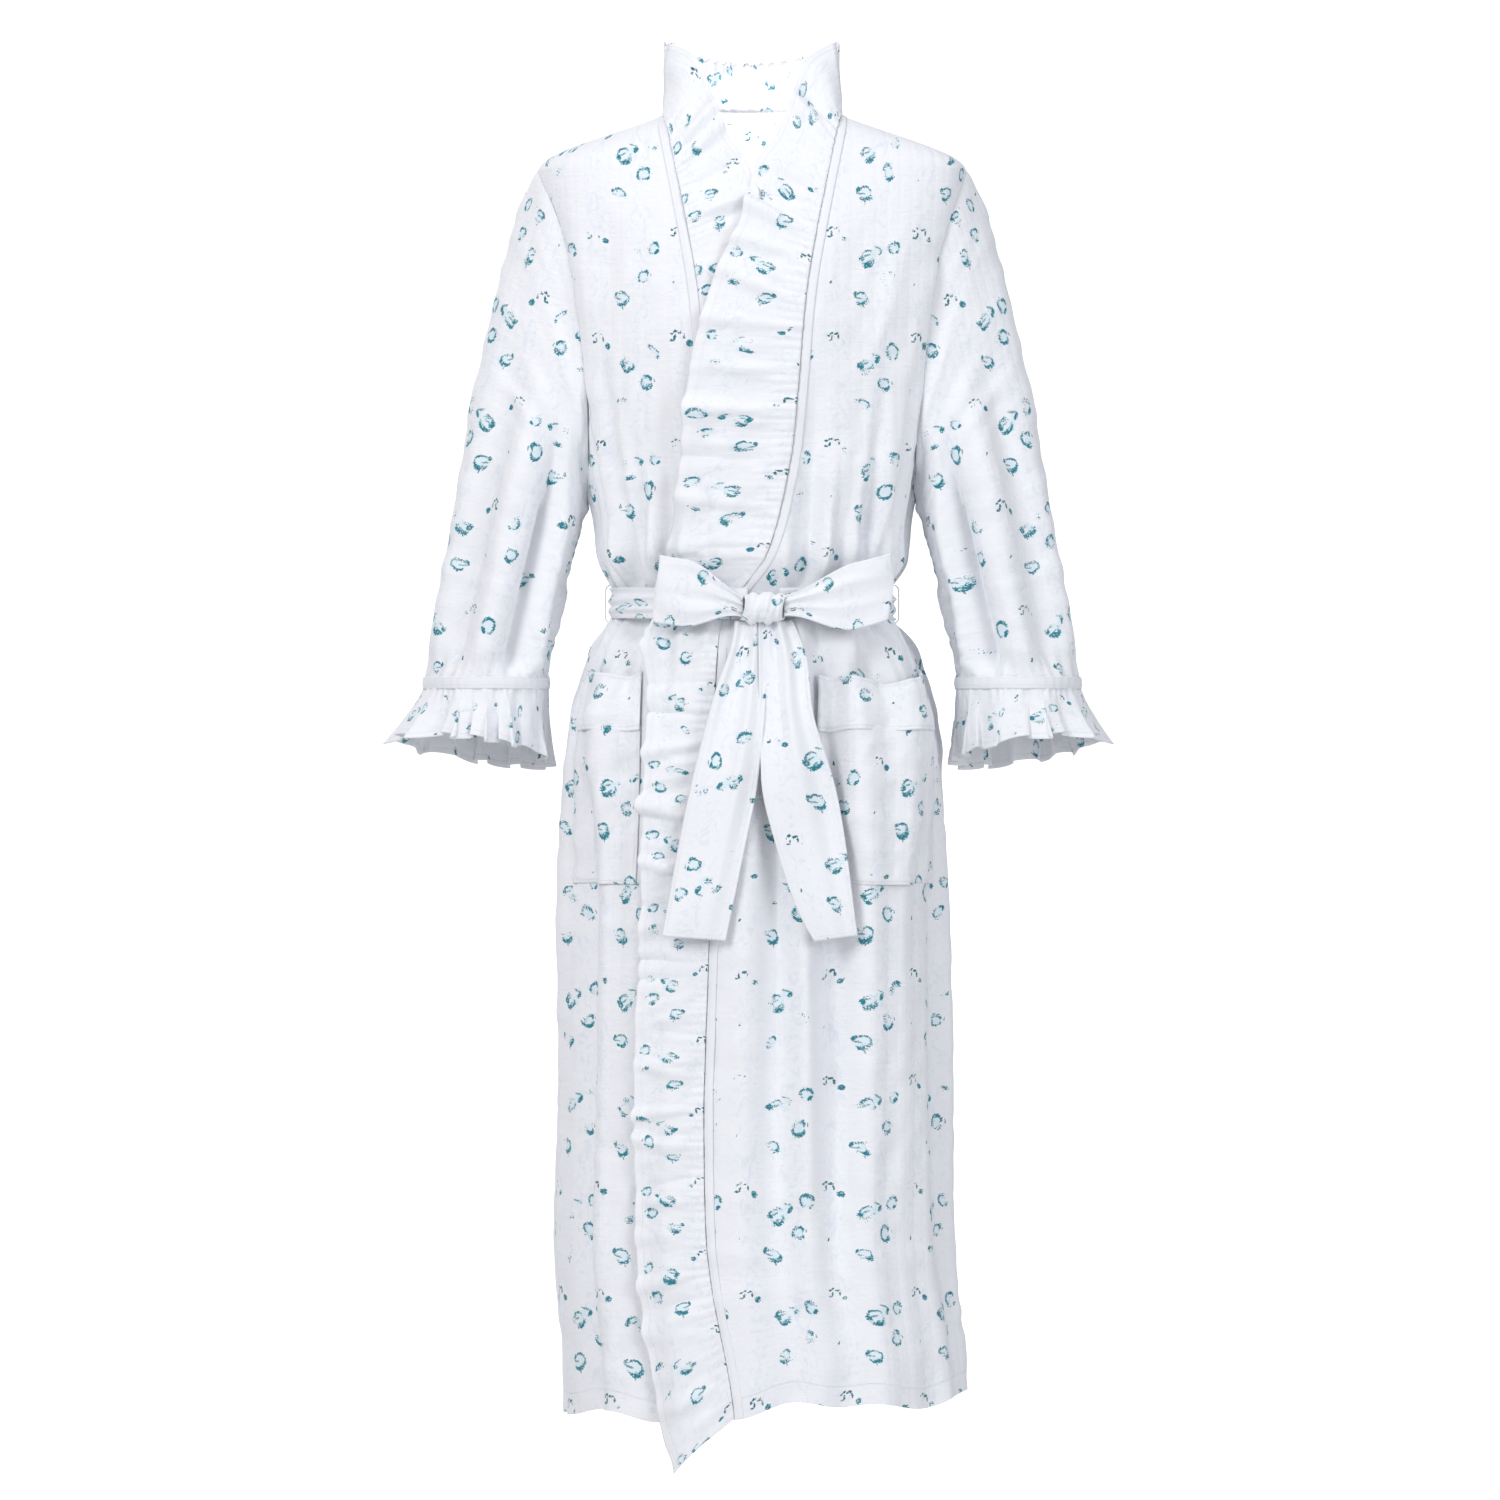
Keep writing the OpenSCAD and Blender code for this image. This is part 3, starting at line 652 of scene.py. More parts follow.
# --- front ruffles
def flutes(s, u, length, mean, seed, slant=9.0):
    """Gathers that leave the seam at uneven places, lean, and open or die out on the way to the edge."""
    rng = np.random.default_rng(seed)
    total = 0.24 * np.sin(s * 0.9 + 2 * np.sin(s * 0.11)) * (1 - smooth(u / 0.45))
    place = -mean
    while place < length + mean:
        place += mean * rng.uniform(0.45, 1.7)
        lean, wide = rng.normal(0, slant), mean * rng.uniform(0.24, 0.42)
        height = rng.uniform(0.35, 1.0) * rng.choice([1, 1, 1, -0.7])
        reach = rng.choice([1.0, 1.0, 0.6, 0.35])
        born = rng.choice([0.0, 0.0, 0.0, 0.4])
        grow = smooth((u - born) / 0.45) * (1 if reach == 1 else 1 - smooth((u - reach) / 0.35))
        bow = lean * u + 2.0 * math.sin(place) * u * (1 - u)
        total = total + height * (0.22 + 0.78 * grow) * np.exp(
            -np.abs((s - place - bow) / (wide * (0.55 + 0.6 * u))) ** 1.7)
    return total


def uneven(length, mean, spread, seed):
    """Phases of waves whose spacing varies: one value for each mm of length."""
    rng = np.random.default_rng(seed)
    count = int(length / mean) + 4
    gaps = mean * (1 + spread * rng.uniform(-1, 1, count))
    at = np.concatenate([[0], np.cumsum(gaps)])
    return np.interp(np.arange(int(length) + 2), at, np.arange(count + 1) * TAU)


def ruffle(name, nodes, side, layer, seed, dip, across=None):
    """A gathered strip from its seam to its free edge, with flutes that open towards the edge."""
    drops = np.arange(0, HEM + 1, 2.2)
    n = 22
    u = np.linspace(0, 1, n + 1)
    rows = []
    for d in drops:
        df = d - free_rise(d) + dip * smooth((d - 1000) / 165)
        xs, xf = seam_x(d), free_x(df)
        if df > 62:
            b = body_point(angle_of_x(xf, df, layer), df, layer)
        else:
            b = np.array([xf, -free_y(df) - layer, -df])
        a = body_point(angle_of_x(xs, d, layer), d, layer)
        p = mix(a[None], b[None], u[:, None])
        on_body = body_point(angle_of_x(p[:, 0], -p[:, 2], layer), -p[:, 2], layer)
        rows.append(mix(p, on_body, smooth((d - 100) / 90)))
    base = np.array(rows)
    ang = angle_of_x(base[..., 0], -base[..., 2], layer)
    under = fold(side * ang, -base[..., 2]) * smooth((-base[..., 2] - 60) / 80)
    calm = smooth(np.abs(drops - WAIST_DROP) / 34 - 0.55)[:, None]
    covered = 0 * drops[:, None] if side > 0 else smooth((drops - 95) / 50)[:, None]
    neck = (1 - smooth((drops - 60) / 120))[:, None]
    wave = flutes(drops[:, None] + 0 * u, u[None] + 0 * drops[:, None], HEM, 15, seed)
    fine = 0.45 * crumple(drops[:, None] * 1.4, u[None] * 60, 6, seed + 5)
    tall = (6.6 + 2.4 * neck) * (0.12 + 0.88 * calm) * (1 - 0.86 * covered)
    lift = tall * (0.20 + wave * (0.50 + 0.62 * u)) + fine * (1 - covered) + 0.5
    n_out = normals(base)
    away = np.where(n_out[..., 1:2] > 0, -1, 1) * n_out
    p = base + away * (under + lift)[..., None]
    down = np.gradient(base, axis=0)
    down /= np.maximum(np.linalg.norm(down, axis=-1, keepdims=True), 1e-9)
    slope = np.gradient(wave, axis=0)
    p = p - down * (5.0 * u**1.2 * slope * calm * (1 - covered))[..., None]
    out = np.gradient(base, axis=1)
    out /= np.maximum(np.linalg.norm(out, axis=-1, keepdims=True), 1e-9)
    p = p + out * (2.2 * u**3 * (wave - 0.4) * (1 - covered))[..., None]
    p[..., 0] *= side
    p = hem_wave(p)
    gathered = 1.5
    uv = np.stack([side * np.broadcast_to(u * 70 + 10, base.shape[:2]),
                   -np.broadcast_to(drops[:, None] * gathered, base.shape[:2])], -1)
    edge = np.stack([-uv[..., 1], (1 - np.broadcast_to(u, base.shape[:2])) * 66 - 1.5], -1)
    if side < 0:
        p, uv, edge = p[:, ::-1], uv[:, ::-1], edge[:, ::-1]
    obj = sheet_mesh(name, p, uv, ruffle_cloth, thick=0.8, edge=edge)
    finish_sheet(obj, p, nodes, across=across)


ruffle("ruffle_right", ["right_ruffle"], -1, 0, 11, 0)
ruffle("ruffle_left", ["left_ruffle", "corner_ruffle"], 1, LAYER, 23, 48, CORNER)


# --- collar and neck
def collar():
    """The ruffle's stretch round the back of the neck, standing up from the neckline."""
    n = 260
    a = np.radians(np.linspace(-88, 88, n + 1))[None]
    v = np.linspace(0, 1, 13)[:, None]
    phase = np.interp(np.linspace(0, 300, n + 1), np.arange(302), uneven(300, 15, 0.3, 5)[:302])[None]
    out = (0.6 + 4.2 * v**1.3) * np.sin(phase + 0.7 * v)
    top = COLLAR - 15 * np.cos(a) ** 1.5
    x = (mix(NECK, NECK - 4, v) + out) * np.sin(a)
    y = (NECK_DEEP + 8 * v + out) * np.cos(a)
    z = mix(-1.0, top, v) + 1.5 * v * np.cos(2 * phase)
    p = np.stack([x, y, z], -1)[::-1]
    s = lengths(p, 1)
    uv = np.stack(np.broadcast_arrays(a * NECK * 1.4 + 20, (COLLAR * v + 12)[::-1]), -1)
    edge = np.stack([s * 1.5, lengths(p, 0) - 1.5], -1)
    obj = sheet_mesh("collar_back", p, uv, ruffle_cloth, thick=0.8, edge=edge)
    finish_sheet(obj, p, ["back_collar"])


collar()


def strip_on(name, nodes, grid, column, across=None):
    """A narrow stitched strip that lies on the edge column (0 or -1) of a panel's grid."""
    edge_col = grid[:, column]
    way = grid[:, 3 if column == 0 else -4] - edge_col
    way /= np.linalg.norm(way, axis=-1, keepdims=True)
    out = normals(grid)[:, column]
    u = np.linspace(0, 1, 5)
    bulge = 0.7 + 0.5 * np.sin(np.pi * u)
    q = edge_col[:, None] + way[:, None] * (u * 9)[None, :, None] + out[:, None] * bulge[None, :, None]
    if column != 0:
        q = q[:, ::-1]
    uv = np.stack([lengths(q, 1), -lengths(q, 0)], -1)
    edge = np.stack([lengths(q, 0), lengths(q, 1) + STITCH_INSET - 2.5], -1)
    obj = sheet_mesh(name, q, uv, binding_cloth, thick=0.65, edge=edge)
    finish_sheet(obj, q, nodes, across=across)


strip_on("binding_right", ["right_binding"], right_grid, -1)
strip_on("binding_left", ["left_binding"], left_grid, 0, CORNER)


def neck_tape():
    """The binding round the back of the neck."""
    a = np.radians(np.linspace(-86, 86, 121))[None]
    z = np.linspace(6, -9, 5)[:, None]
    p = np.stack([(NECK - 4) * np.sin(a) + 0 * z, (NECK_DEEP - 3.5) * np.cos(a) + 0 * z, z + 0 * a], -1)
    s = lengths(p, 1)
    obj = sheet_mesh("neck_tape", p, np.stack([s, p[..., 2]], -1), binding_cloth, thick=1.0,
                     edge=np.stack([s, lengths(p, 0) + 2], -1))
    finish_sheet(obj, p, ["neck_binding"])


neck_tape()


# --- sleeves
SLEEVE_R = 66  # mean radius of a sleeve, for its cloth coordinates
SLEEVE_RING = TAU * SLEEVE_R
ROUND = np.linspace(math.pi, 3 * math.pi, 96, endpoint=False)[None]


def sleeve(side):
    """A sleeve from its armhole to its cuff, with hanging folds."""
    word = word_of(side)
    body = "sleeve_" + word
    a, n = ROUND, ROUND.size
    t = np.linspace(0, 1, 84)[:, None]
    d0 = ARM_MID - ARM_HALF * np.cos(a)
    y0 = ARM_DEEP * np.sin(a)
    x0 = body_w(d0) * (1 - (np.abs(y0) / body_y(d0)) ** SQUARE) ** (1 / SQUARE)
    start = np.stack([x0, y0, -d0], -1)
    stop = np.stack([CUFF_OUT + CUFF_HALF * np.cos(a), CUFF_DEEP * np.sin(a), -CUFF_DROP + 0 * a], -1)
    p = start + (stop - start) * t[..., None]
    bulge = np.sin(math.pi * t**0.6) * np.maximum(0, np.cos(a))
    p = p + bulge[..., None] * np.array([12, 0, 6])
    flat = p.copy()
    mid = np.sin(math.pi * t) ** 0.8
    deg = np.degrees(a) % 360

    def furrow(at, width):
        return np.exp(-(((deg - at + 180) % 360 - 180) / width) ** 2)

    low = smooth((t - 0.16) / 0.34) * smooth((1 - t) / 0.10)
    folds = (-26 * furrow(262 - 20 * t, 11) + 10 * furrow(238 - 16 * t, 10) + 8 * furrow(286 - 8 * t, 13)
             - 9 * furrow(312 - 6 * t, 11) + 6 * furrow(334, 12) - 8 * furrow(205 - 10 * t, 13)
             - 8 * furrow(60 + 12 * t, 16) + 6 * furrow(100, 18) - 7 * furrow(135 + 8 * t, 14))
    ripple = 1.4 * np.sin(7 * a + 5 * t) + 0.9 * np.sin(12 * a - 8 * t + 1) + 1.4 * np.sin(9 * t + 3 * a)
    crush = (2.4 * crease(t, 0.08, 0.05) * np.sin(6 * a + 0.5)
             + 2.0 * crease(t, 0.45, 0.10) * np.sin(5 * a + 2))
    gather = smooth((t - 0.88) / 0.12) * 1.7 * np.sin(30 * a + 2 * np.sin(5 * a))
    rumple = (1.5 * crumple(a * SLEEVE_R, t * 420, 13, 14)
              + 0.45 * crumple(a * SLEEVE_R, t * 420, 6, 15))
    rise = folds * low + ripple * mid + crush + gather + rumple * smooth(t / 0.06) * smooth((1 - t) / 0.05)
    p = p + normals(flat, True) * rise[..., None]
    along = -(flat @ np.array([0.22, 0, -0.975]))
    round_ = np.arctan2(flat[..., 1], flat @ np.array([0.975, 0, 0.22]) - 123)
    round_ = np.where((np.arange(n)[None] < n // 4) & (round_ > 0), round_ - TAU, round_)
    uv = np.stack([round_ * SLEEVE_R + (20 if side > 0 else 8), along], -1)
    p[..., 0] *= side
    if side < 0:
        p, uv = p[:, ::-1], uv[:, ::-1]
    obj = sheet_mesh("sleeve_" + word + "_cloth", p, uv, printed, wrap=side * SLEEVE_RING,
                     edge=uv + UNSTITCHED)
    across = (body, (side * 0.168, 0, -0.197), (side * 0.238, 0, -0.208))
    finish_sheet(obj, p, [word + "_sleeve"], across=across, wrap=True)


def cuff_band(side):
    """The stitched heading between a sleeve and its cuff ruffle."""
    word = word_of(side)
    a = ROUND
    band_t = np.linspace(0, 1, 5)[:, None]
    swell = (1.2 + 0.7 * np.sin(math.pi * band_t)
             + 0.8 * np.sin(43 * a + 2 * np.sin(5 * a) + 1.5 * band_t))
    band = np.stack([CUFF_OUT + (CUFF_HALF + swell) * np.cos(a), (CUFF_DEEP + swell) * np.sin(a),
                     -CUFF_DROP + 3 - 11 * band_t + 0 * a], -1)
    band[..., 0] *= side
    if side < 0:
        band = band[:, ::-1]
    u = np.linspace(0, SLEEVE_RING, a.size, endpoint=False)
    uv = np.stack(np.broadcast_arrays(u[None], -11 * band_t), -1)
    edge = np.stack(np.broadcast_arrays(u[None], np.abs(band_t - 0.5) * 11 + STITCH_INSET - 3), -1)
    obj = sheet_mesh("cuff_band_" + word, band, uv, binding_cloth, thick=1.1, wrap=SLEEVE_RING, edge=edge)
    finish_sheet(obj, band, [word + "_cuff_band"],
                 body="sleeve_" + word, wrap=True)


def cuff_ruffle(side):
    """The wide ruffle that hangs from a cuff, longer towards the outside."""
    word = word_of(side)
    m = 320
    b = np.linspace(0, TAU, m, endpoint=False)[None]
    v = np.linspace(0, 1, 19)[:, None]
    total = uneven(420, 36, 0.5, 31 if side > 0 else 37)
    waves_round = np.round(total[400] / TAU) * TAU
    phase = (np.interp(np.linspace(0, 400, m, endpoint=False), np.arange(401), total[:401])
             * waves_round / total[400])[None]
    grow = v**1.1
    reach = 24 if side > 0 else 31
    bell = 0.5 * np.sin(phase + 0.5 * v) + 0.35 * np.sin(2 * phase + 0.9) * v
    flare = grow * (reach * (0.5 + 0.5 * np.cos(b)) ** 1.5 - 1 + 2 * np.abs(np.sin(b)))
    flare = flare + (1.0 + 11.0 * grow) * bell
    flare = flare + 0.8 * np.sin(41 * b + 3 * np.sin(7 * b)) * (1 - smooth(v / 0.4))
    cb = b + 3.6 * grow * np.sin(2 * phase + 1.1) / 60
    drop = CUFF_DROP + 6 + v * (58 - 10 * np.cos(cb) + 11 * np.sin(cb)) + 2.5 * grow * np.cos(phase)
    p = np.stack([CUFF_OUT + (CUFF_HALF + flare) * np.cos(cb),
                  (CUFF_DEEP + flare) * np.sin(cb), -drop], -1)
    p = p + normals(p, True) * (0.5 * crumple(b * SLEEVE_R, v * 60, 6, 40))[..., None]
    p[..., 0] *= side
    if side < 0:
        p = p[:, ::-1]
    full = SLEEVE_RING * 1.6
    s = np.linspace(0, full, m, endpoint=False)[None]
    uv = np.stack(np.broadcast_arrays(s, -CUFF_RUFFLE_H * v), -1)
    edge = np.stack(np.broadcast_arrays(s, (1 - v) * CUFF_RUFFLE_H - 1.0), -1)
    obj = sheet_mesh("cuff_ruffle_" + word, p, uv, ruffle_cloth, thick=0.8, wrap=full, edge=edge)
    finish_sheet(obj, p, [word + "_cuff_ruffle"],
                 body="sleeve_" + word, wrap=True)


for side in (1, -1):
    sleeve(side)
    cuff_band(side)
    cuff_ruffle(side)


# --- pockets
POCKET_DROP, POCKET_H, BAND_H = 505, 190, 52


def pocket_side(side):
    """A patch pocket that stands away from the panel, and the band along its mouth."""
    word = word_of(side)
    base = 1.6 if side < 0 else LAYER + 1.6
    stand = 17 if side > 0 else 10

    def grid(top, bottom, rise, n_rows):
        rows = []
        for d in np.linspace(POCKET_DROP + top, POCKET_DROP + bottom, n_rows):
            x0 = 56 if side > 0 else -free_x(d) + 4
            a0, a1 = angle_of_x(x0, d, base), 69
            u = np.linspace(0, 1, 49)
            a = mix(a0, a1, u)
            t = (d - POCKET_DROP) / POCKET_H
            off = base + rise + stand * np.sin(math.pi * u) ** 0.8 * (1 - t * t)
            corner = 0.25 * (1 - smooth(u / 0.05)) + 0.25 * (1 - smooth((1 - u) / 0.05))
            q = body_point(side * a, d, off * (1 - corner * 0.2))
            rows.append((q, side * a, np.full_like(a, d), u))
        way = 1 if side > 0 else -1
        return [np.array(part)[:, ::way] for part in zip(*rows)]

    p, ang, dd, u = grid(BAND_H - 4, POCKET_H, 0, 40)
    rumple = 1.3 * np.sin(ang / 7.0 + dd / 26.0) + 1.0 * np.sin(dd / 15.0 - ang / 5.0 + 1)
    inner = np.sin(math.pi * u)
    flat = p.copy()
    p = p + normals(p) * (fold(ang, dd) + rumple * inner)[..., None]
    uv = cloth_uv(flat, 31)
    across_ = lengths(flat, 1)
    down = lengths(flat, 0)
    near = np.minimum(np.minimum(across_, across_[:, -1:] - across_), down[-1:] - down)
    edge = np.stack([across_ + down, near + 2.5], -1)
    obj = sheet_mesh("pocket_" + word, p, uv, printed, edge=edge)
    finish_sheet(obj, p, [word + "_pocket"])

    p, ang, dd, u = grid(0, BAND_H, 1.6, 16)
    inner = np.sin(math.pi * u)
    pucker = (1.6 * np.sin(dd / 9.0 + ang / 6.0)
              + 1.3 * np.sin(ang / 3.2) * smooth((dd - POCKET_DROP - 10) / 30))
    flat = p.copy()
    p = p + normals(p) * (fold(ang, dd) + pucker * inner)[..., None]
    sag = (9 if side > 0 else 3) * inner * (1 - (dd - POCKET_DROP) / BAND_H)
    p[..., 2] -= sag
    down = lengths(flat, 0)
    uv = np.stack([lengths(flat, 1) + 17, -down - 40], -1)
    edge = np.stack([lengths(flat, 1), np.minimum(down, down[-1:] - down) + 1.5], -1)
    obj = sheet_mesh("pocket_band_" + word, p, uv, printed, thick=1.6, edge=edge)
    finish_sheet(obj, p, [word + "_pocket_band"])


pocket_side(1)
pocket_side(-1)


# --- sash
KNOT_X, KNOT_W, KNOT_H = 10, 46, 34
SASH_OFF = 12.0
KNOT_Y = -92 - SASH_OFF - 11


def sash_waist():
    """The sash round the waist, from one side of the knot to the other."""
    n, m = 300, 12
    v = np.linspace(0, 1, m + 1)
    rows = []
    for k in v:
        d = WAIST_DROP + (k - 0.5) * 27
        a0 = angle_of_x(KNOT_X + 14, d, SASH_OFF)
        a1 = 360 + angle_of_x(KNOT_X - 14, d, SASH_OFF)
        a = np.linspace(a0, a1, n + 1)
        near = np.where(a > 180, a - 360, a)
        off = mix(3.0, SASH_OFF, smooth((110 - np.abs(near)) / 60))
        crimp = 2.6 * np.sin(k * 17 + a / 37) + 1.4 * np.sin(k * 29 - a / 23 + 1)
        roll = 3.5 * np.sin(math.pi * k) - 2
        rows.append(body_point(a, d, off + crimp * 0.7 + roll))
    p = np.array(rows)
    s = lengths(p, 1)
    uv = np.stack([s, -58 * np.broadcast_to(v[:, None], s.shape)], -1)
    edge = np.stack([s, 58 * np.minimum(v, 1 - v)[:, None] + 0 * s + 2], -1)
    obj = sheet_mesh("sash_waist_cloth", p, uv, sash_cloth, thick=1.4, edge=edge)
    finish_sheet(obj, p, ["sash_waist"])


def sash_knot():
    """The turn of sash that crosses over the bow: a crumpled ring round the knot's middle."""
    a = np.linspace(0, TAU, 64, endpoint=False)[None]
    t = np.linspace(-1, 1, 29)[:, None]
    width = KNOT_W / 2 * (0.80 + 0.10 * np.cos(a))
    swell = np.sqrt(np.clip(1 - (np.abs(t) * 0.93) ** 3.2, 0, 1))
    rib = 1.3 * np.sin(t * 8 + 0.8 * np.sin(a)) * swell + 0.7 * np.sin(t * 15 + 2 * a)
    ry, rz = (KNOT_H / 3.4 + rib) * swell + 1.0, (KNOT_H * 0.36 + rib) * (0.55 + 0.45 * swell)
    p = np.stack([KNOT_X + t * width + 1.5 * np.sin(a), KNOT_Y + ry * np.cos(a),
                  -WAIST_DROP - 5 + rz * np.sin(a)], -1)
    ring = 100.0
    s = np.linspace(0, ring, 64, endpoint=False)[None]
    uv = np.stack(np.broadcast_arrays(s, t * 29), -1)
    edge = np.stack(np.broadcast_arrays(s, 30 - 28 * np.abs(t)), -1)
    obj = sheet_mesh("sash_knot_cloth", p, uv, sash_cloth, thick=1.4, wrap=ring, edge=edge)
    finish_sheet(obj, p, ["sash_knot"], wrap=True)


def bow_loop(side, length, word, seed):
    """A ribbon that leaves the knot, turns and comes back, with pleats that run out of the knot."""
    n, m = 96, 14
    a = np.radians(np.linspace(-166, 166, n + 1))[None]
    v = np.linspace(-1, 1, m + 1)[:, None]
    far = (1 + np.cos(a)) / 2
    open_ = smooth(far * 1.45)
    h = mix(KNOT_H * 0.50, 60, open_)
    pleat = (1 - far) ** 0.7
    y = KNOT_Y + 8.5 * np.sin(a) * np.cos(a / 2) ** 0.5
    y = y + pleat * (2.4 * np.sin(v * 9 + seed) + 1.2 * np.sin(v * 17))
    y = y + 2.0 * far * np.sin(v * 3.1 + seed + 2 * a)
    y = y - 1.2 * np.sin(a) * np.sin(v * 5 + 3 * far)
    x = KNOT_X + side * (KNOT_W / 2 - 6 + (length + 5) * far + 3 * far * np.sin(v * 2 + seed))
    z = -WAIST_DROP - 5 + 20 * far - v * h / 2 + 2.5 * np.sin(far * 4 + seed)
    p = np.stack(np.broadcast_arrays(x, y, z), -1)
    s = lengths(p, 1)
    uv = np.stack([s, -29 * np.broadcast_to(v, s.shape)], -1)
    edge = np.stack([s, 30 * (1 - np.abs(v)) + 0 * s + 2], -1)
    if side < 0:
        p, uv, edge = p[:, ::-1], uv[:, ::-1], edge[:, ::-1]
    obj = sheet_mesh("bow_loop_" + word, p, uv, sash_cloth, thick=1.3, edge=edge)
    finish_sheet(obj, p, [word + "_bow_loop"], body="loop_" + word)


def sash_tail(word, left_line, right_line, end_tilt, seed):
    """A tail between two lines, pleated under the knot and opening out as it falls."""
    m = 20
    u = np.linspace(0, 1, m + 1)
    top = WAIST_DROP + 16
    rows = []
    for d in np.arange(top, TAIL_DROP + 1, 4.0):
        t = (d - top) / (TAIL_DROP - top)
        x = mix(left_line(d), right_line(d), u)
        dd = d + end_tilt * (u - 0.5) * smooth(t * 1.3 - 0.3)
        off = SASH_OFF + 1.5
        q = body_point(angle_of_x(x, dd, off), dd, off)
        pleat = (1 - 0.75 * t) * (3.4 * np.sin(u * 11 + seed) + 1.6 * np.sin(u * 19 + 2 * seed))
        sway = 2.6 * np.sin(u * 4.4 + d / 55 + seed) + 1.6 * np.sin(d / 23 + 3 * u)
        clear = 2.5 + 2.5 * smooth(t * 3)
        q[:, 1] -= pleat + sway * smooth(t * 2) + clear
        tuck = (1 - smooth((d - top) / 14)) * 3
        q[:, 1] += tuck
        rows.append(q)
    p = np.array(rows)
    s = lengths(p, 0)
    w = 57.0
    way = -1 if word == "right" else 1
    uv = np.stack([np.broadcast_to(way * u * w, s.shape), -way * s], -1)
    near = np.minimum(np.minimum(u, 1 - u)[None] * w, (s[-1:] - s)) + 2
    edge = np.stack([s + 0 * uv[..., 0], near], -1)
    obj = sheet_mesh("sash_tail_" + word, p, uv, sash_cloth, thick=1.6, edge=edge)
    finish_sheet(obj, p, [word + "_sash_tail"], body="tail_" + word)


sash_waist()
sash_knot()
bow_loop(-1, 74, "right", 0.4)
bow_loop(1, 92, "left", 2.0)
sash_tail("right", curve((440, -14), (480, -19), (522, -33), (612, -56), (TAIL_DROP, -81)),
          curve((440, 8), (500, 12), (603, 5), (657, -6), (TAIL_DROP, -24)), 4, 0.3)
sash_tail("left", curve((440, 6), (598, 8), (657, 21), (720, 43), (TAIL_DROP, 56)),
          curve((440, 28), (490, 48), (540, 54), (612, 75), (TAIL_DROP, 94)), -5, 1.7)


# --- small loops
def belt_loop(side):
    """A thread loop on the side seam, inside the box of its CAD node."""
    word = word_of(side)
    low, high = (np.array(c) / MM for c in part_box(word + "_belt_loop"))
    z0, z1 = low[2], high[2]
    out = max(abs(low[0]), abs(high[0])) - 7
    inn = min(abs(low[0]), abs(high[0])) - 3
    t = np.linspace(0, 1, 33)[:, None]
    u = np.linspace(-2.2, 2.2, 4)[None]
    ease = np.clip(np.minimum(t, 1 - t) * 7, 0, 1)
    x = mix(inn, out, np.sin(ease * math.pi / 2) ** 0.8)
    p = np.stack(np.broadcast_arrays(side * x, u, mix(z1 + 1, z0 - 1, t)), -1)
    if side < 0:
        p = p[:, ::-1]
    uv = np.stack([lengths(p, 1), -lengths(p, 0)], -1)
    obj = sheet_mesh("belt_loop_" + word, p, uv, binding_cloth, thick=1.2, edge=uv + UNSTITCHED)
    finish_sheet(obj, p, [word + "_belt_loop"])


belt_loop(1)
belt_loop(-1)


def hanger_loop():
    """The tape loop inside the back of the neck."""
    low, high = (np.array(c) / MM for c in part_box("hanger_loop"))
    half, drop = (high[0] - low[0]) / 2 - 3, high[2] - low[2]
    a = np.linspace(0, math.pi, 61)[:, None]
    u = np.linspace(-3, 3, 5)[None]
    x = half * np.cos(a) * (1 - 0.10 * np.sin(a))
    z = high[2] - 3 - (drop - 6) * np.sin(a) ** 0.75
    out = np.stack([np.cos(a), 0 * a, -np.sin(a)], -1)
    p = np.stack([x, 0 * a + (low[1] + high[1]) / 2, z], -1) + out * u[..., None]
    uv = np.stack([lengths(p, 1), -lengths(p, 0)], -1)
    obj = sheet_mesh("hanger_loop_tape", p, uv, binding_cloth, thick=1.2, edge=uv + UNSTITCHED)
    finish_sheet(obj, p, ["hanger_loop"])


hanger_loop()

# --- stage, lights and camera
def stage_sheet(name, profile, half, glow):
    """A strip of studio paper swept along x from a profile of (y, z) points."""
    verts = [(x, y, z) for y, z in profile for x in (-half, half)]
    faces = [(2 * i, 2 * i + 1, 2 * i + 3, 2 * i + 2) for i in range(len(profile) - 1)]
    mesh = bpy.data.meshes.new(name)
    mesh.from_pydata(verts, [], faces)
    mesh.polygons.foreach_set("use_smooth", [True] * len(faces))
    obj = bpy.data.objects.new(name, mesh)
    bpy.context.scene.collection.objects.link(obj)
    material = bpy.data.materials.new(name + "_paper")
    material.use_nodes = True
    shader = material.node_tree.nodes["Principled BSDF"]
    shader.inputs["Base Color"].default_value = (0.90, 0.90, 0.90, 1)
    shader.inputs["Roughness"].default_value = 0.9
    shader.inputs["Emission Color"].default_value = (1, 1, 1, 1)
    shader.inputs["Emission Strength"].default_value = glow
    mesh.materials.append(material)


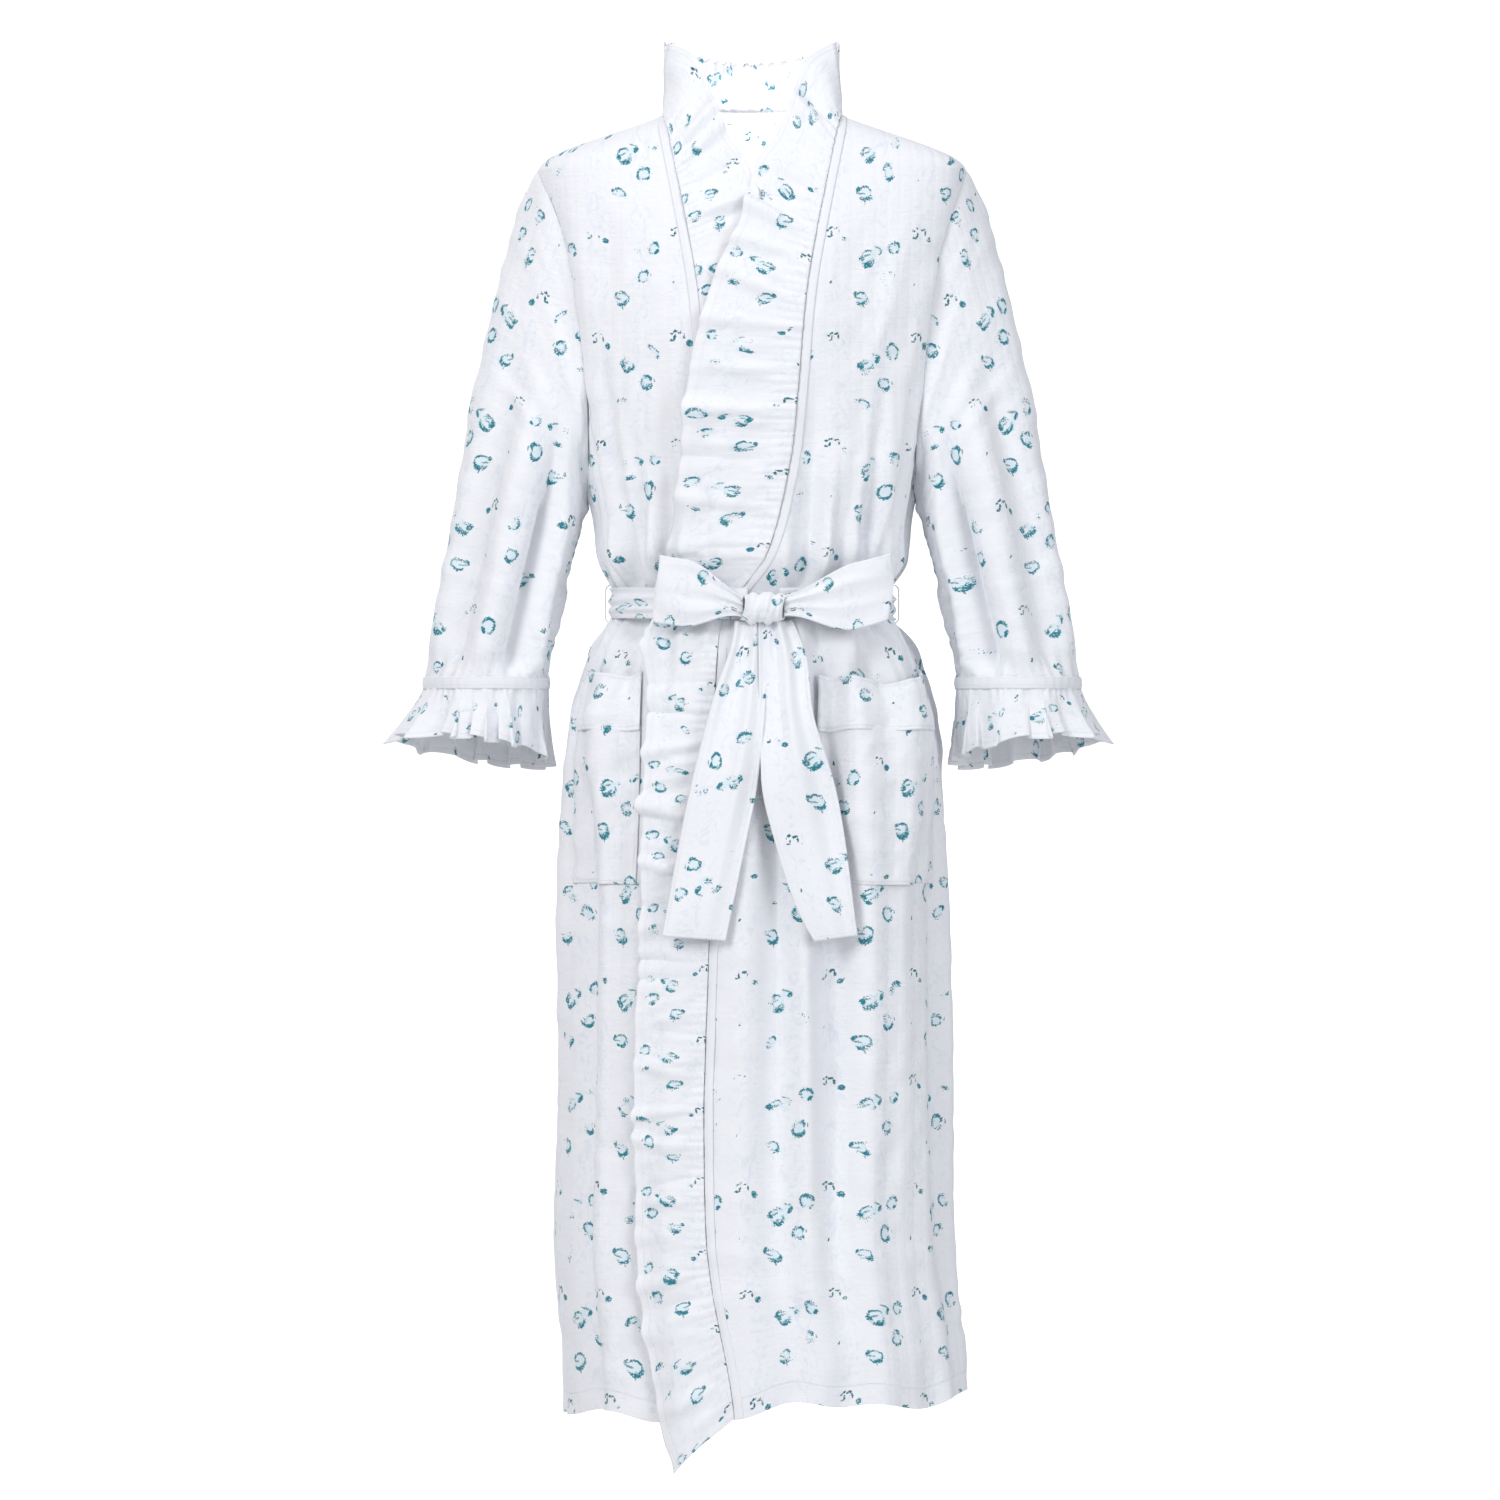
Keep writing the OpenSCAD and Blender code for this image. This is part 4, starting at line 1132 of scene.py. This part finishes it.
FLOOR_Z, WALL_Y, BEND = -2.6, 16.0, 1.0
stage_sheet("studio_floor", [(-11, FLOOR_Z), (WALL_Y + 2, FLOOR_Z)], 12, 0.0)
turns = [k * math.pi / 24 for k in range(1, 13)]
cove = [(WALL_Y - BEND + BEND * math.sin(k), FLOOR_Z + BEND * (1 - math.cos(k))) for k in turns]
stage_sheet("studio_wall", [(WALL_Y - BEND, FLOOR_Z + 0.001)] + cove + [(WALL_Y, 3.0)], 3.0, 0.9)


def area_light(name, place, target, size, power, colour=(1, 1, 1)):
    light = bpy.data.lights.new(name, "AREA")
    light.shape = "RECTANGLE"
    light.size, light.size_y = size
    light.energy = power
    light.color = colour
    obj = bpy.data.objects.new(name, light)
    bpy.context.scene.collection.objects.link(obj)
    obj.location = place
    way = np.array(target) - np.array(place)
    obj.rotation_euler = mathutils.Vector(way).to_track_quat("-Z", "Y").to_euler()


area_light("key", (-2.4, -3.6, 1.5), (0, 0, -0.5), (1.5, 2.2), 90)
area_light("fill", (2.8, -3.4, 0.2), (0, 0, -0.6), (2.0, 2.6), 52, (0.95, 0.965, 1.0))
area_light("top", (0, -0.6, 2.6), (0, 0, -0.4), (2.0, 1.6), 22)
area_light("inside", (0, -0.02, -0.06), (0, 0.09, -0.01), (0.10, 0.06), 0.23)
area_light("back", (-2.6, 3.4, 1.0), (0, 0, -0.5), (1.5, 2.2), 38)

world = bpy.data.worlds.new("studio")
bpy.context.scene.world = world
world.use_nodes = True
world.node_tree.nodes["Background"].inputs["Color"].default_value = (0.93, 0.95, 1.0, 1)
world.node_tree.nodes["Background"].inputs["Strength"].default_value = 0.44

bpy.context.scene.view_settings.view_transform = "Standard"

# The photo's frame is 1.35 m across at the gown, seen level from in front with a long lens
FRAME_WIDTH, DISTANCE, SENSOR = 1.35, 9.0, 36.0
camera = bpy.data.cameras.new("camera")
camera.sensor_width = SENSOR
camera.lens = SENSOR * (DISTANCE - 0.06) / FRAME_WIDTH
camera_obj = bpy.data.objects.new("camera", camera)
bpy.context.scene.collection.objects.link(camera_obj)
camera_obj.location = (-0.002, -DISTANCE, -0.575)
camera_obj.rotation_euler = (math.radians(90), 0, 0)
bpy.context.scene.camera = camera_obj
